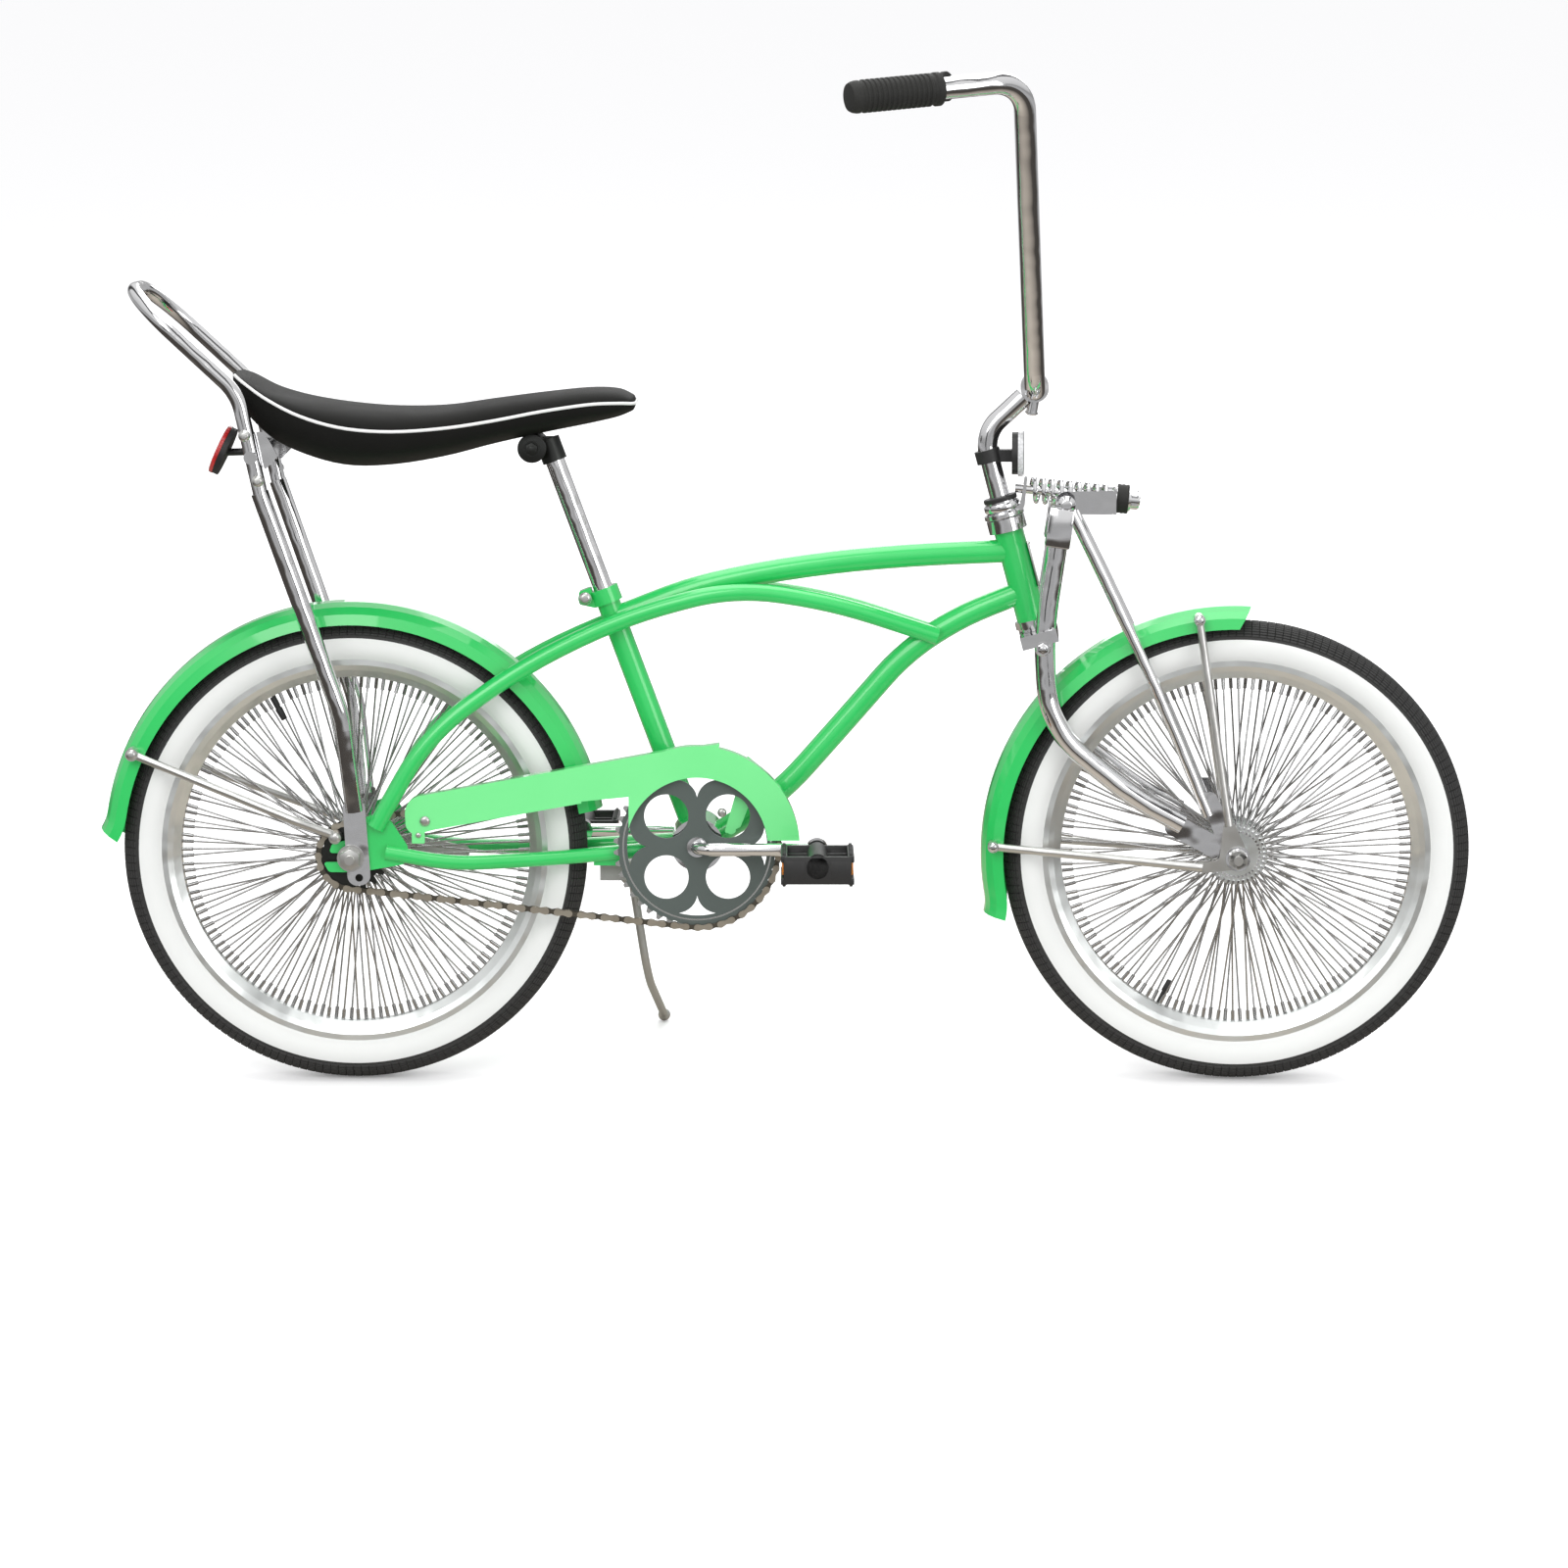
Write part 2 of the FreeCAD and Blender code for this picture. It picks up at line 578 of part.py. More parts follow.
def chain_loop(offset):
    """The chain's closed line round sprocket and chainring, moved outward by offset.

    Links are straight, so the line turns a corner at every pin.
    """
    run = BRACKET - REAR_AXLE
    reach = Vector(run).normalize()
    rise = Vector(-reach.z, 0, reach.x)
    turn = math.acos((SPROCKET_PITCH_RADIUS - RING_PITCH_RADIUS) / run.Length)
    points = []
    for centre, radius, start, sweep in (
            (BRACKET, RING_PITCH_RADIUS, turn, 2 * turn),
            (REAR_AXLE, SPROCKET_PITCH_RADIUS, -turn, 2 * (math.pi - turn))):
        links = round(radius * sweep / CHAIN_PITCH)
        for i in range(links + 1):
            angle = start - sweep * i / links
            out = reach * math.cos(angle) + rise * math.sin(angle)
            points.append(centre + out * (radius + offset))
    return Part.makePolygon(points + points[:1])


def chain():
    band = Part.Face(chain_loop(CHAIN_HALF_HEIGHT)).cut(Part.Face(chain_loop(-CHAIN_HALF_HEIGHT)))
    sides = []
    for y in (-CHAINLINE - CHAIN_SLOT - CHAIN_PLATE, -CHAINLINE + CHAIN_SLOT):
        side = band.extrude(Vector(0, CHAIN_PLATE, 0))
        side.translate(Vector(0, y, 0))
        sides.append(side)
    return Part.makeCompound(sides)


add("chain", chain())


def toothed(centre, teeth, root, tip, y0, y1):
    points = []
    for i in range(teeth):
        for share, radius in ((-0.34, root), (-0.12, tip), (0.12, tip), (0.34, root)):
            angle = 2 * math.pi * (i + 0.5 + share) / teeth
            points.append(Vector(centre.x + radius * math.cos(angle), y0,
                                 centre.z + radius * math.sin(angle)))
    face = Part.Face(Part.makePolygon(points + points[:1]))
    return face.extrude(Vector(0, y1 - y0, 0))


TOOTH_Y0, TOOTH_Y1 = -CHAINLINE - TOOTH_THICK / 2, -CHAINLINE + TOOTH_THICK / 2
WINDOW_OUTER, WINDOW_INNER, WINDOW_HALF = 76.0, 54.0, 16.0
RING_HOLE_CIRCLE, RING_HOLE_RADIUS = 47.3, 24.0


def on_ring(radius, degrees):
    angle = math.radians(degrees)
    return BRACKET + Vector(radius * math.cos(angle), TOOTH_Y0 - 1, radius * math.sin(angle))


def chainring():
    body = toothed(BRACKET, RING_TEETH, RING_PITCH_RADIUS - 3.9, RING_PITCH_RADIUS + 1.8,
                   TOOTH_Y0, TOOTH_Y1)
    cuts = [disc(BRACKET, SPINDLE_RADIUS, -60, 0)]
    for quarter in range(4):
        hole = on_ring(RING_HOLE_CIRCLE, 45 + 90 * quarter)
        cuts.append(disc(hole, RING_HOLE_RADIUS, -60, 0))
        middle = 90 * quarter
        left, right = on_ring(WINDOW_OUTER, middle + WINDOW_HALF), on_ring(WINDOW_OUTER,
                                                                          middle - WINDOW_HALF)
        point = on_ring(WINDOW_INNER, middle)
        edges = [Part.Arc(right, on_ring(WINDOW_OUTER, middle), left).toShape(),
                 Part.Arc(left, on_ring(66, middle + 5), point).toShape(),
                 Part.Arc(point, on_ring(66, middle - 5), right).toShape()]
        cuts.append(Part.Face(Part.Wire(edges)).extrude(Vector(0, 10, 0)))
    return body.cut(Part.makeCompound(cuts))


add("chainring", chainring())


def sprocket():
    plate_part = toothed(REAR_AXLE, SPROCKET_TEETH, SPROCKET_PITCH_RADIUS - 4.2,
                         SPROCKET_PITCH_RADIUS + 3.2, TOOTH_Y0, TOOTH_Y1)
    driver = disc(REAR_AXLE, 12, TOOTH_Y0 - 0.8, -REAR_HUB_RIGHT - 0.5)
    body = fuse([plate_part, driver])
    return body.cut(disc(REAR_AXLE, AXLE_RADIUS + RUNNING_FIT, -60, 0))


add("sprocket", sprocket())


# Crank and pedals

def crank():
    z = BRACKET.z
    near, far = BRACKET.x + CRANK_LENGTH, BRACKET.x - CRANK_LENGTH
    arms = bent_tube([(near, -CRANK_Y, z), (BRACKET.x, -CRANK_Y, z), (BRACKET.x, CRANK_Y, z),
                      (far, CRANK_Y, z)], CRANK_RADIUS, CRANK_BEND)
    spindle = disc(BRACKET, SPINDLE_RADIUS, -CRANK_Y + CRANK_BEND, CRANK_Y - CRANK_BEND)
    shapes = [arms, spindle]
    for x, side in ((near, -1), (far, 1)):
        low, high = sorted((side * (CRANK_Y - 8), side * (CRANK_Y + 8)))
        shapes.append(disc(Vector(x, 0, z), 12, low, high))
        low, high = sorted((side * CRANK_Y, side * (PEDAL_INNER + PEDAL_WIDTH - 8)))
        shapes.append(disc(Vector(x, 0, z), AXLE_RADIUS, low, high))
    shapes.append(disc(BRACKET, 18, -CHAINLINE + TOOTH_THICK / 2, -BRACKET_HALF - 4 - SEAT_GAP))
    shapes.append(disc(BRACKET, 18, BRACKET_HALF + 4 + SEAT_GAP, BRACKET_HALF + 9))
    return fuse(shapes)


add("crank", crank())


def pedal(centre, side):
    near, far = PEDAL_INNER, PEDAL_INNER + PEDAL_WIDTH
    middle = centre - Vector(0, 0, PEDAL_DROP)
    shapes = [disc(centre, 12, near, far)]
    for y in (near, far - 5):
        corner = Vector(4 - PEDAL_HALF_LENGTH, y, 2 - PEDAL_HALF_HEIGHT)
        shapes.append(Part.makeBox(2 * PEDAL_HALF_LENGTH - 8, 5, 2 * PEDAL_HALF_HEIGHT - 4,
                                   middle + corner))
    for end in (-1, 1):
        corner = Vector(end * (PEDAL_HALF_LENGTH - 5) - 5, near, -PEDAL_HALF_HEIGHT)
        shapes.append(Part.makeBox(10, PEDAL_WIDTH, 2 * PEDAL_HALF_HEIGHT, middle + corner))
    body = fuse(shapes).cut(disc(centre, AXLE_RADIUS + RUNNING_FIT, near - 1, far - 6))
    return body if side > 0 else body.mirror(Vector(0, 0, 0), Y_AXIS)


RIGHT_PEDAL = BRACKET + Vector(CRANK_LENGTH, 0, 0)
LEFT_PEDAL = BRACKET - Vector(CRANK_LENGTH, 0, 0)
add("right_pedal", pedal(RIGHT_PEDAL, -1))
add("left_pedal", pedal(LEFT_PEDAL, 1))


# Rear axle and brake arm

REAR_NUT = PLATE_IN + PLATE_THICK


def rear_axle():
    shaft = disc(REAR_AXLE, AXLE_RADIUS, -REAR_NUT - 18, REAR_NUT + 18)
    nuts = [disc(REAR_AXLE, 10, REAR_NUT, REAR_NUT + 10), disc(REAR_AXLE, 8, 49.3, DROPOUT_Y)]
    both = nuts + [n.mirror(Vector(0, 0, 0), Y_AXIS) for n in nuts]
    return fuse([shaft] + both)


add("rear_axle", rear_axle())


def brake_arm():
    corners = [(-10, 16, 8), (14, 18, 6), (122, -6, 5), (120, -18, 5), (12, -16, 10),
               (-12, -14, 8)]
    arm = plate(around(REAR_AXLE, corners), 45.3, 49.3)
    return arm.cut(disc(REAR_AXLE, AXLE_RADIUS + RUNNING_FIT, 40, 55)).cut(nodes["frame"])


add("brake_arm", brake_arm())


# Side stand

STAND_AXIS = Vector(0, math.cos(math.radians(STAND_TILT)), math.sin(math.radians(STAND_TILT)))
PIVOT = BRACKET + Vector(*STAND_PIVOT)
STAND_PIN = 4.0


def stand_foot():
    """The foot's centre, so low that the leaning bicycle rests on it."""
    x, y = STAND_FOOT
    lean = math.radians(LEAN)
    rise = (STAND_FOOT_RADIUS - TYRE_SECTION + y * math.sin(lean)) / math.cos(lean)
    return Vector(BRACKET.x + x, y, TYRE_SECTION + rise)


def stand_bracket():
    block = Part.makeBox(32, 36, 20, off(BRACKET, -107, -14, -43))
    barrel = rod(PIVOT - STAND_AXIS * 32, PIVOT - STAND_AXIS * 9, 10.5)
    pin = rod(PIVOT - STAND_AXIS * 30, PIVOT + STAND_AXIS * 10, STAND_PIN)
    head = rod(PIVOT + STAND_AXIS * 8.3, PIVOT + STAND_AXIS * 10.3, 7.0)
    return fuse([block, barrel, pin, head])


def stand_leg():
    knee, foot = BRACKET + Vector(*STAND_KNEE), stand_foot()
    leg = bent_tube([PIVOT, knee, foot], STAND_RADIUS, 60.0)
    barrel = rod(PIVOT - STAND_AXIS * 8.7, PIVOT + STAND_AXIS * 8, 10.0)
    ball = Part.makeSphere(STAND_FOOT_RADIUS, foot)
    return fuse([leg, barrel, ball]).cut(rod(PIVOT - STAND_AXIS * 20, PIVOT + STAND_AXIS * 20,
                                             STAND_PIN + RUNNING_FIT))


add("stand_bracket", stand_bracket())
add("side_stand", stand_leg())


# Springer fork

CROWN_AT = -HEAD_LENGTH - 17.0
CROWN = along_head(CROWN_AT)
YOKE_BOLT = (62.0, 32.7)
AXLE_PLATE_OUT = FORK_PLATE_Y + FORK_PLATE_THICK


def fork_leg():
    tube = bent_tube([off(HEAD_TOP, 58, -LEG_Y, 27.7), off(CROWN, 7.7, -LEG_Y, -1.3),
                      off(CROWN, 16.7, -LEG_Y, -99.3), off(FRONT_AXLE, -112, -LEG_Y, 64),
                      off(FRONT_AXLE, -60, -LEG_Y, 36)], LEG_RADIUS)
    corners = [(-76, 52, 8), (2, 11, 10), (10, -8, 10), (-8, -11, 8), (-80, 28, 8)]
    end = plate(around(FRONT_AXLE, corners), -FORK_PLATE_Y - FORK_PLATE_THICK, -FORK_PLATE_Y)
    return fuse([tube, end]).cut(disc(FRONT_AXLE, AXLE_RADIUS, -80, 0))


def crown():
    block = Part.makeBox(40, 2 * LEG_Y + 30, 14)
    block.translate(Vector(-16, -LEG_Y - 15, -7))
    block.rotate(Vector(0, 0, 0), Y_AXIS, HEAD_ANGLE - 90)
    block.translate(CROWN)
    steerer = rod(CROWN, along_head(16), STEERER_RADIUS)
    race = rod(along_head(-HEAD_LENGTH - 8 - SEAT_GAP), CROWN, 17.0)
    return fuse([block, steerer, race])


legs = pair(fork_leg())
add("fork_legs", Part.makeCompound(legs), True)
add("fork_crown", crown().cut(nodes["fork_legs"]), True)


def strut():
    tube = bent_tube([off(HEAD_TOP, 69, -30, 21.7), off(HEAD_TOP, 111, -36, -62.3),
                      off(FRONT_AXLE, -80, -43, 162), off(FRONT_AXLE, -32, -50, 46)], STRUT_RADIUS)
    corners = [(-44, 72, 6), (-26, 72, 6), (11, 4, 9), (2, -11, 9), (-12, -8, 8)]
    end = plate(around(FRONT_AXLE, corners), -AXLE_PLATE_OUT - FORK_PLATE_THICK, -AXLE_PLATE_OUT)
    body = fuse([tube, end]).cut(disc(FRONT_AXLE, AXLE_RADIUS, -80, 0))
    return body.cut(nodes["fork_legs"])


add("fork_struts", Part.makeCompound(pair(strut())), True)

SPRING_REAR = off(HEAD_TOP, 21, 0, 44.7)
SPRING_FRONT = off(HEAD_TOP, 113, 0, 35.7)
SPRING_RADIUS = 15.0
SPRING_WIRE = 3.0
SPRING_TURNS = 8


def spring():
    """The coils as rings on a core: one profile of (distance, radius), turned about the axis."""
    length = (SPRING_FRONT - SPRING_REAR).Length
    axis = (SPRING_FRONT - SPRING_REAR).normalize()
    outward = Vector(-axis.z, 0, axis.x)
    core = SPRING_RADIUS - SPRING_WIRE
    profile = [(0, 5.0), (0, core)]
    for i in range(SPRING_TURNS + 1):
        middle = length * (0.04 + 0.92 * i / SPRING_TURNS)
        for step in range(5):
            angle = math.pi * step / 4
            profile.append((middle - SPRING_WIRE * math.cos(angle),
                            core + SPRING_WIRE * math.sin(angle)))
    profile += [(length, core), (length, 5.0)]
    points = [SPRING_REAR + axis * along + outward * r for along, r in profile]
    return Part.Face(Part.makePolygon(points + points[:1])).revolve(SPRING_REAR, axis, 360)


add("fork_spring", spring(), True)


def yoke():
    corners = [(51, 43.7, 10), (113, 45.7, 2), (113, 19.7, 2), (51, 19.7, 10)]
    side = plate(around(HEAD_TOP, corners), -23, -19)
    front = Part.makeBox(3, 46, 26, off(HEAD_TOP, 113, -23, 19.7))
    x, z = YOKE_BOLT
    pivot = rod(off(HEAD_TOP, x, -LEG_Y - 4, z), off(HEAD_TOP, x, LEG_Y + 4, z), 5.0)
    bush = rod(off(HEAD_TOP, 116, 0, 35.4), off(HEAD_TOP, 130, 0, 34), SPRING_RADIUS)
    nut = rod(off(HEAD_TOP, 130, 0, 34), off(HEAD_TOP, 141, 0, 33), 9.5)
    stud = rod(off(HEAD_TOP, 7, 0, 46), off(HEAD_TOP, 130, 0, 34), 4.9)
    return fuse(pair(side) + [front, bush, nut, stud, pivot])


yoke_shape = yoke().cut(nodes["fork_legs"]).cut(nodes["fork_struts"]).cut(nodes["fork_spring"])
add("spring_yoke", yoke_shape, True)


def hook():
    nuts = rod(along_head(14 + SEAT_GAP), along_head(33), 16.5)
    nuts = nuts.cut(rod(along_head(10), along_head(40), STEM_RADIUS))
    nuts = nuts.cut(rod(along_head(0), along_head(16), STEERER_RADIUS))
    corners = [(3, 23.7, 2), (13, 29.7, 8), (17, 57.7, 3), (20, 57.7, 3), (17, 23.7, 10),
               (5, 19.7, 2)]
    strap = plate(around(HEAD_TOP, corners), -12, 12)
    return fuse([nuts, strap]).cut(rod(along_head(10), along_head(60), STEM_RADIUS))


add("headset_nuts", hook().cut(nodes["spring_yoke"]), True)

STEM_BEND = off(HEAD_TOP, -28, 0, 104.7)
CLAMP = off(HEAD_TOP, 27, 0, 155.2)


def stem():
    body = bent_tube([along_head(18), STEM_BEND, off(HEAD_TOP, 15, 0, 144.7)], STEM_RADIUS, 38.0)
    clamp = disc(CLAMP, BAR_RADIUS + 4, -22, 22)
    bolt = rod(off(CLAMP, -1, 0, -14.5), off(CLAMP, -3, 0, -26.5), 6.0)
    return fuse([body, clamp, bolt]).cut(disc(CLAMP, BAR_RADIUS, -60, 60))


add("stem", stem(), True)

BAR_CORNER = off(CLAMP, 0, -72, 0)
BAR_SHOULDER = off(CLAMP, -15, -262, 327.5)
BAR_END = off(CLAMP, -185, -347, 311.5)


def handlebar():
    side = [BAR_END, BAR_SHOULDER, BAR_CORNER]
    far = [(x, -y, z) for x, y, z in reversed(side)]
    return bent_tube(side + far, BAR_RADIUS, [0, 42.0, 48.0, 48.0, 42.0, 0])


def grip():
    end, shoulder = Vector(*BAR_END), Vector(*BAR_SHOULDER)
    along = (shoulder - end).normalize()
    body = rod(end - along * 5, end + along * GRIP_LENGTH, GRIP_RADIUS)
    return body.cut(rod(end, end + along * (GRIP_LENGTH + 10), BAR_RADIUS))


add("handlebar", handlebar(), True)
add("grips", Part.makeCompound(pair(grip())), True)


def front_reflector():
    quill = off(HEAD_TOP, -22.5, 0, 80.7)
    band = rod(quill - HEAD_UP * 7, quill + HEAD_UP * 7, STEM_RADIUS + 3)
    arm = Part.makeBox(22, 14, 13, off(HEAD_TOP, -15, -7, 74.7))
    back = Part.makeCylinder(23, 7, off(HEAD_TOP, 3, 0, 83.7), Vector(1, 0, 0))
    lens = Part.makeCylinder(24, 6, off(HEAD_TOP, 10, 0, 83.7), Vector(1, 0, 0))
    return fuse([band, arm, back, lens]).cut(rod(along_head(10), along_head(140), STEM_RADIUS))


add("front_reflector", front_reflector().cut(nodes["stem"]), True)

FRONT_NUT = AXLE_PLATE_OUT + FORK_PLATE_THICK + 2.5


def front_stay():
    eye_y = FRONT_NUT - 2.5
    high = FENDER_RADIUS - 10.9, 98.8
    low = FENDER_RADIUS - 13.8, 177.6
    upper = bent_tube([out_from(FRONT_FENDER_CENTRE, *high, -38),
                       off(FRONT_AXLE, -10, -eye_y - 4, 36)], STAY_ROD)
    level = bent_tube([out_from(FRONT_FENDER_CENTRE, *low, -38),
                       off(FRONT_AXLE, -38, -eye_y - 4, -10)], STAY_ROD)
    feet = [rod(out_from(FRONT_FENDER_CENTRE, *at, -20), out_from(FRONT_FENDER_CENTRE, *at, -44),
                6.0) for at in (high, low)]
    corners = [(-16, 38, 3), (-4, 38, 3), (10, 8, 8), (4, -11, 8), (-34, -16, 3), (-46, -15, 3),
               (-46, -5, 3), (-20, -2, 6)]
    eye = plate(around(FRONT_AXLE, corners), -eye_y - 2.5, -eye_y)
    stay = fuse([upper, level, eye] + feet).cut(disc(FRONT_AXLE, AXLE_RADIUS, -80, 0))
    stay = stay.cut(nodes["fork_struts"]).cut(nodes["fork_legs"])
    return outside(stay.cut(nodes["front_fender"]))


add("front_fender_stays", Part.makeCompound(pair(front_stay())), True)


def front_axle():
    shaft = disc(FRONT_AXLE, AXLE_RADIUS, -FRONT_NUT - 17, FRONT_NUT + 17)
    nuts = [disc(FRONT_AXLE, 10, FRONT_NUT, FRONT_NUT + 10),
            disc(FRONT_AXLE, 8, FRONT_HUB_END + SEAT_GAP, FORK_PLATE_Y)]
    both = nuts + [n.mirror(Vector(0, 0, 0), Y_AXIS) for n in nuts]
    return fuse([shaft] + both)


add("front_axle", front_axle(), True)


# Parked stance and files

def stand_up(shape, turns):
    if turns:
        shape.rotate(HEAD_TOP, HEAD_UP, -PARKED_STEER)
    shape.rotate(Vector(0, 0, TYRE_SECTION), Vector(1, 0, 0), -LEAN)
    shape.translate(Vector(-ORIGIN_X, -ORIGIN_Y, 0))
    return shape


os.makedirs("parts", exist_ok=True)
box = FreeCAD.BoundBox()
for name, shape in nodes.items():
    shape = stand_up(shape.copy(), name in steered)
    shape.exportStep("parts/" + name + ".step")
    box.add(shape.BoundBox)
    print(name, len(shape.Solids), "solids", round(shape.Volume), "mm3", shape.isValid())
print("box", [round(v, 1) for v in (box.XMin, box.XMax, box.YMin, box.YMax, box.ZMin, box.ZMax)])

PIVOTS = {
    "steering": (HEAD_TOP, HEAD_UP, False), "front_wheel": (FRONT_AXLE, Y_AXIS, True),
    "rear_wheel": (REAR_AXLE, Y_AXIS, False), "crank": (BRACKET, Y_AXIS, False),
    "right_pedal": (RIGHT_PEDAL, Y_AXIS, False), "left_pedal": (LEFT_PEDAL, Y_AXIS, False),
    "stand": (PIVOT, STAND_AXIS, False),
}
for name, (point, axis, turns) in PIVOTS.items():
    line = stand_up(Part.makeLine(point, point + axis), turns)
    start, end = line.Vertexes[0].Point, line.Vertexes[1].Point
    print("pivot", name, [round(v / 1000, 6) for v in start], [round(v, 6) for v in end - start])
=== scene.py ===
# %% [markdown]
# # A chopper bicycle
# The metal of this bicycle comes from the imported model, already at its real size. This lesson
# gives each of its surfaces a finish, and makes the pieces whose look lies in their small shapes:
# tyres, spring, chain, saddle, grips, pedals and lamps' lenses. Everything is modelled in
# millimetres in the bicycle's own upright frame, X forward from the rear axle, and one matrix
# then stands it up the way it is parked.

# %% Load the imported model
import math

import bmesh
import bpy
from mathutils import Matrix, Vector


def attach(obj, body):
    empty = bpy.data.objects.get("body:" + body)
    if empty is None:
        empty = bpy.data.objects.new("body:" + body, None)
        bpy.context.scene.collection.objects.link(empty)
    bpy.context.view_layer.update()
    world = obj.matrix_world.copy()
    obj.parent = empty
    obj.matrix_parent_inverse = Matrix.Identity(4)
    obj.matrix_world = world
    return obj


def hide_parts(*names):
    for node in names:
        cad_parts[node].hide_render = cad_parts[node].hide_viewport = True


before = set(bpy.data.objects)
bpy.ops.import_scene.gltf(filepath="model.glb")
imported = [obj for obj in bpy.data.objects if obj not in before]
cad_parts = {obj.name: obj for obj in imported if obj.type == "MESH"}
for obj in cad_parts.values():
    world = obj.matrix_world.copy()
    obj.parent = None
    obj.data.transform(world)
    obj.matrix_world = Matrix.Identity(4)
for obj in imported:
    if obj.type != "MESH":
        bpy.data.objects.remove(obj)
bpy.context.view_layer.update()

# %% [markdown]
# The bicycle leans on its side stand and its fork is turned a little to the right. Both turns
# are kept in two matrices, so every piece can be drawn as if the bicycle stood straight.

# %% Sizes shared with the metal, in millimetres
LEAN = 7.0
PARKED_STEER = 3.0
TYRE_RADIUS = 254.0
TYRE_SECTION = 25.4
RIM_OUTER = 211.0
WHEELBASE = 964.0
REAR_AXLE = Vector((0, 0, TYRE_RADIUS))
FRONT_AXLE = Vector((WHEELBASE, 0, TYRE_RADIUS))
HEAD_TOP = Vector((713, 0, 604.3))
HEAD_UP = Vector((-math.cos(math.radians(75)), 0, math.sin(math.radians(75))))
BRACKET = Vector((375, 0, 264))
SHIFT = Vector((-469.1, -129, 0))
Y = Vector((0, 1, 0))

# %% The two stances
contact = Vector((0, 0, TYRE_SECTION))
lean = Matrix.Translation(contact) @ Matrix.Rotation(-math.radians(LEAN), 4, "X")
lean = Matrix.Translation(SHIFT) @ lean @ Matrix.Translation(-contact)
PARKED = Matrix.Scale(0.001, 4) @ lean
steer = Matrix.Rotation(-math.radians(PARKED_STEER), 4, HEAD_UP)
STEERED = PARKED @ Matrix.Translation(HEAD_TOP) @ steer @ Matrix.Translation(-HEAD_TOP)
print("rear axle stands at", [round(v, 4) for v in PARKED @ REAR_AXLE])

# %% [markdown]
# The photograph was taken from the drive side with a long lens, from a little above. The camera
# belongs to the upright frame too, so it is placed with the same matrix as the frame's tubes.

# %% Camera
CAMERA_AT = Vector((469.35, -4775.5, 1036.77))
CAMERA_PITCH = 8.4685
FOCAL_PIXELS = 4500
FRAME_PIXELS = 1600

camera = bpy.data.objects.new("camera", bpy.data.cameras.new("camera"))
bpy.context.scene.collection.objects.link(camera)
camera.data.sensor_width = 36
camera.data.lens = 36 * FOCAL_PIXELS / FRAME_PIXELS
camera.data.clip_end = 100
aim = Matrix.Rotation(math.radians(90 - CAMERA_PITCH), 4, "X")
turn = Matrix.Rotation(-math.radians(LEAN), 4, "X") @ aim
camera.matrix_world = Matrix.Translation(PARKED @ CAMERA_AT) @ turn
bpy.context.scene.camera = camera
print("lens", camera.data.lens, "mm")

# %% [markdown]
# A studio for chrome needs more than light: polished metal shows only what stands round it. Four
# large soft lamps give it bright bands, and all of them aim at the middle of the bicycle. The
# camera itself sees a plain white backdrop.

# %% Lamps
LAMPS = {
    "key": ((-1.6, -3.4, 3.2), 2.6, 62),
    "fill": ((2.6, -3.0, 1.8), 2.2, 36),
    "top": ((0.0, 0.4, 3.8), 3.0, 58),
    "back": ((0.3, 3.4, 2.4), 2.6, 40),
}
middle = Vector((0, 0, 0.5))
for name, (place, side, watts) in LAMPS.items():
    lamp = bpy.data.lights.new("lamp_" + name, "AREA")
    lamp.shape = "SQUARE"
    lamp.size = side
    lamp.energy = watts
    holder = bpy.data.objects.new("lamp_" + name, lamp)
    holder.location = place
    holder.rotation_euler = (middle - Vector(place)).to_track_quat("-Z", "Y").to_euler()
    bpy.context.scene.collection.objects.link(holder)

bpy.context.scene.view_settings.view_transform = "Standard"

# %% [markdown]
# Finishes are written as sums. A small class stands for a number or colour on its way through
# the nodes, and adding or multiplying two of them adds the Math node that does it. Every other
# node comes from one method, which sets the node's options and then its sockets.

# %% Sums for materials
class Value:
    """An output socket of a material that can be used in sums."""

    def __init__(self, finish, socket):
        self.finish = finish
        self.socket = socket

    def sum(self, operation, first, second):
        return self.finish.node("Math", {"operation": operation}, {0: first, 1: second})

    def __add__(self, other):
        return self.sum("ADD", self, other)

    def __rsub__(self, other):
        return self.sum("SUBTRACT", other, self)

    def __mul__(self, other):
        return self.sum("MULTIPLY", self, other)

    def __gt__(self, other):
        return self.sum("GREATER_THAN", self, other)

    def __lt__(self, other):
        return self.sum("LESS_THAN", self, other)

    __radd__ = __add__
    __rmul__ = __mul__


class Finish:
    """A material with one Principled shader, built up node by node."""

    def __init__(self, name):
        self.material = bpy.data.materials.new(name)
        self.material.use_nodes = True
        self.nodes = self.material.node_tree.nodes
        self.shader = self.nodes["Principled BSDF"]
        self.place = self.node("TexCoord", {}, {}, "Object")

    def node(self, kind, settings, inputs, output=0):
        made = self.nodes.new("ShaderNode" + kind)
        for key, setting in settings.items():
            setattr(made, key, setting)
        for key, value in inputs.items():
            self.fill(made.inputs[key], value)
        return Value(self, made.outputs[output])

    def fill(self, socket, value):
        if isinstance(value, Value):
            self.material.node_tree.links.new(value.socket, socket)
        elif isinstance(value, tuple) and len(value) == 3 and socket.type == "RGBA":
            socket.default_value = (*value, 1)
        else:
            socket.default_value = value

    def set(self, **inputs):
        for key, value in inputs.items():
            self.fill(self.shader.inputs[key.replace("_", " ")], value)
        return self

    def noise(self, scale, detail=3.0):
        return self.node("TexNoise", {}, {"Vector": self.place, "Scale": scale, "Detail": detail})

    def mix(self, share, first, second):
        inputs = {0: share, 6: first, 7: second}
        return self.node("Mix", {"data_type": "RGBA"}, inputs, 2)

    def bump(self, height, strength, distance):
        inputs = {"Height": height, "Strength": strength, "Distance": distance}
        self.set(Normal=self.node("Bump", {}, inputs))
        return self

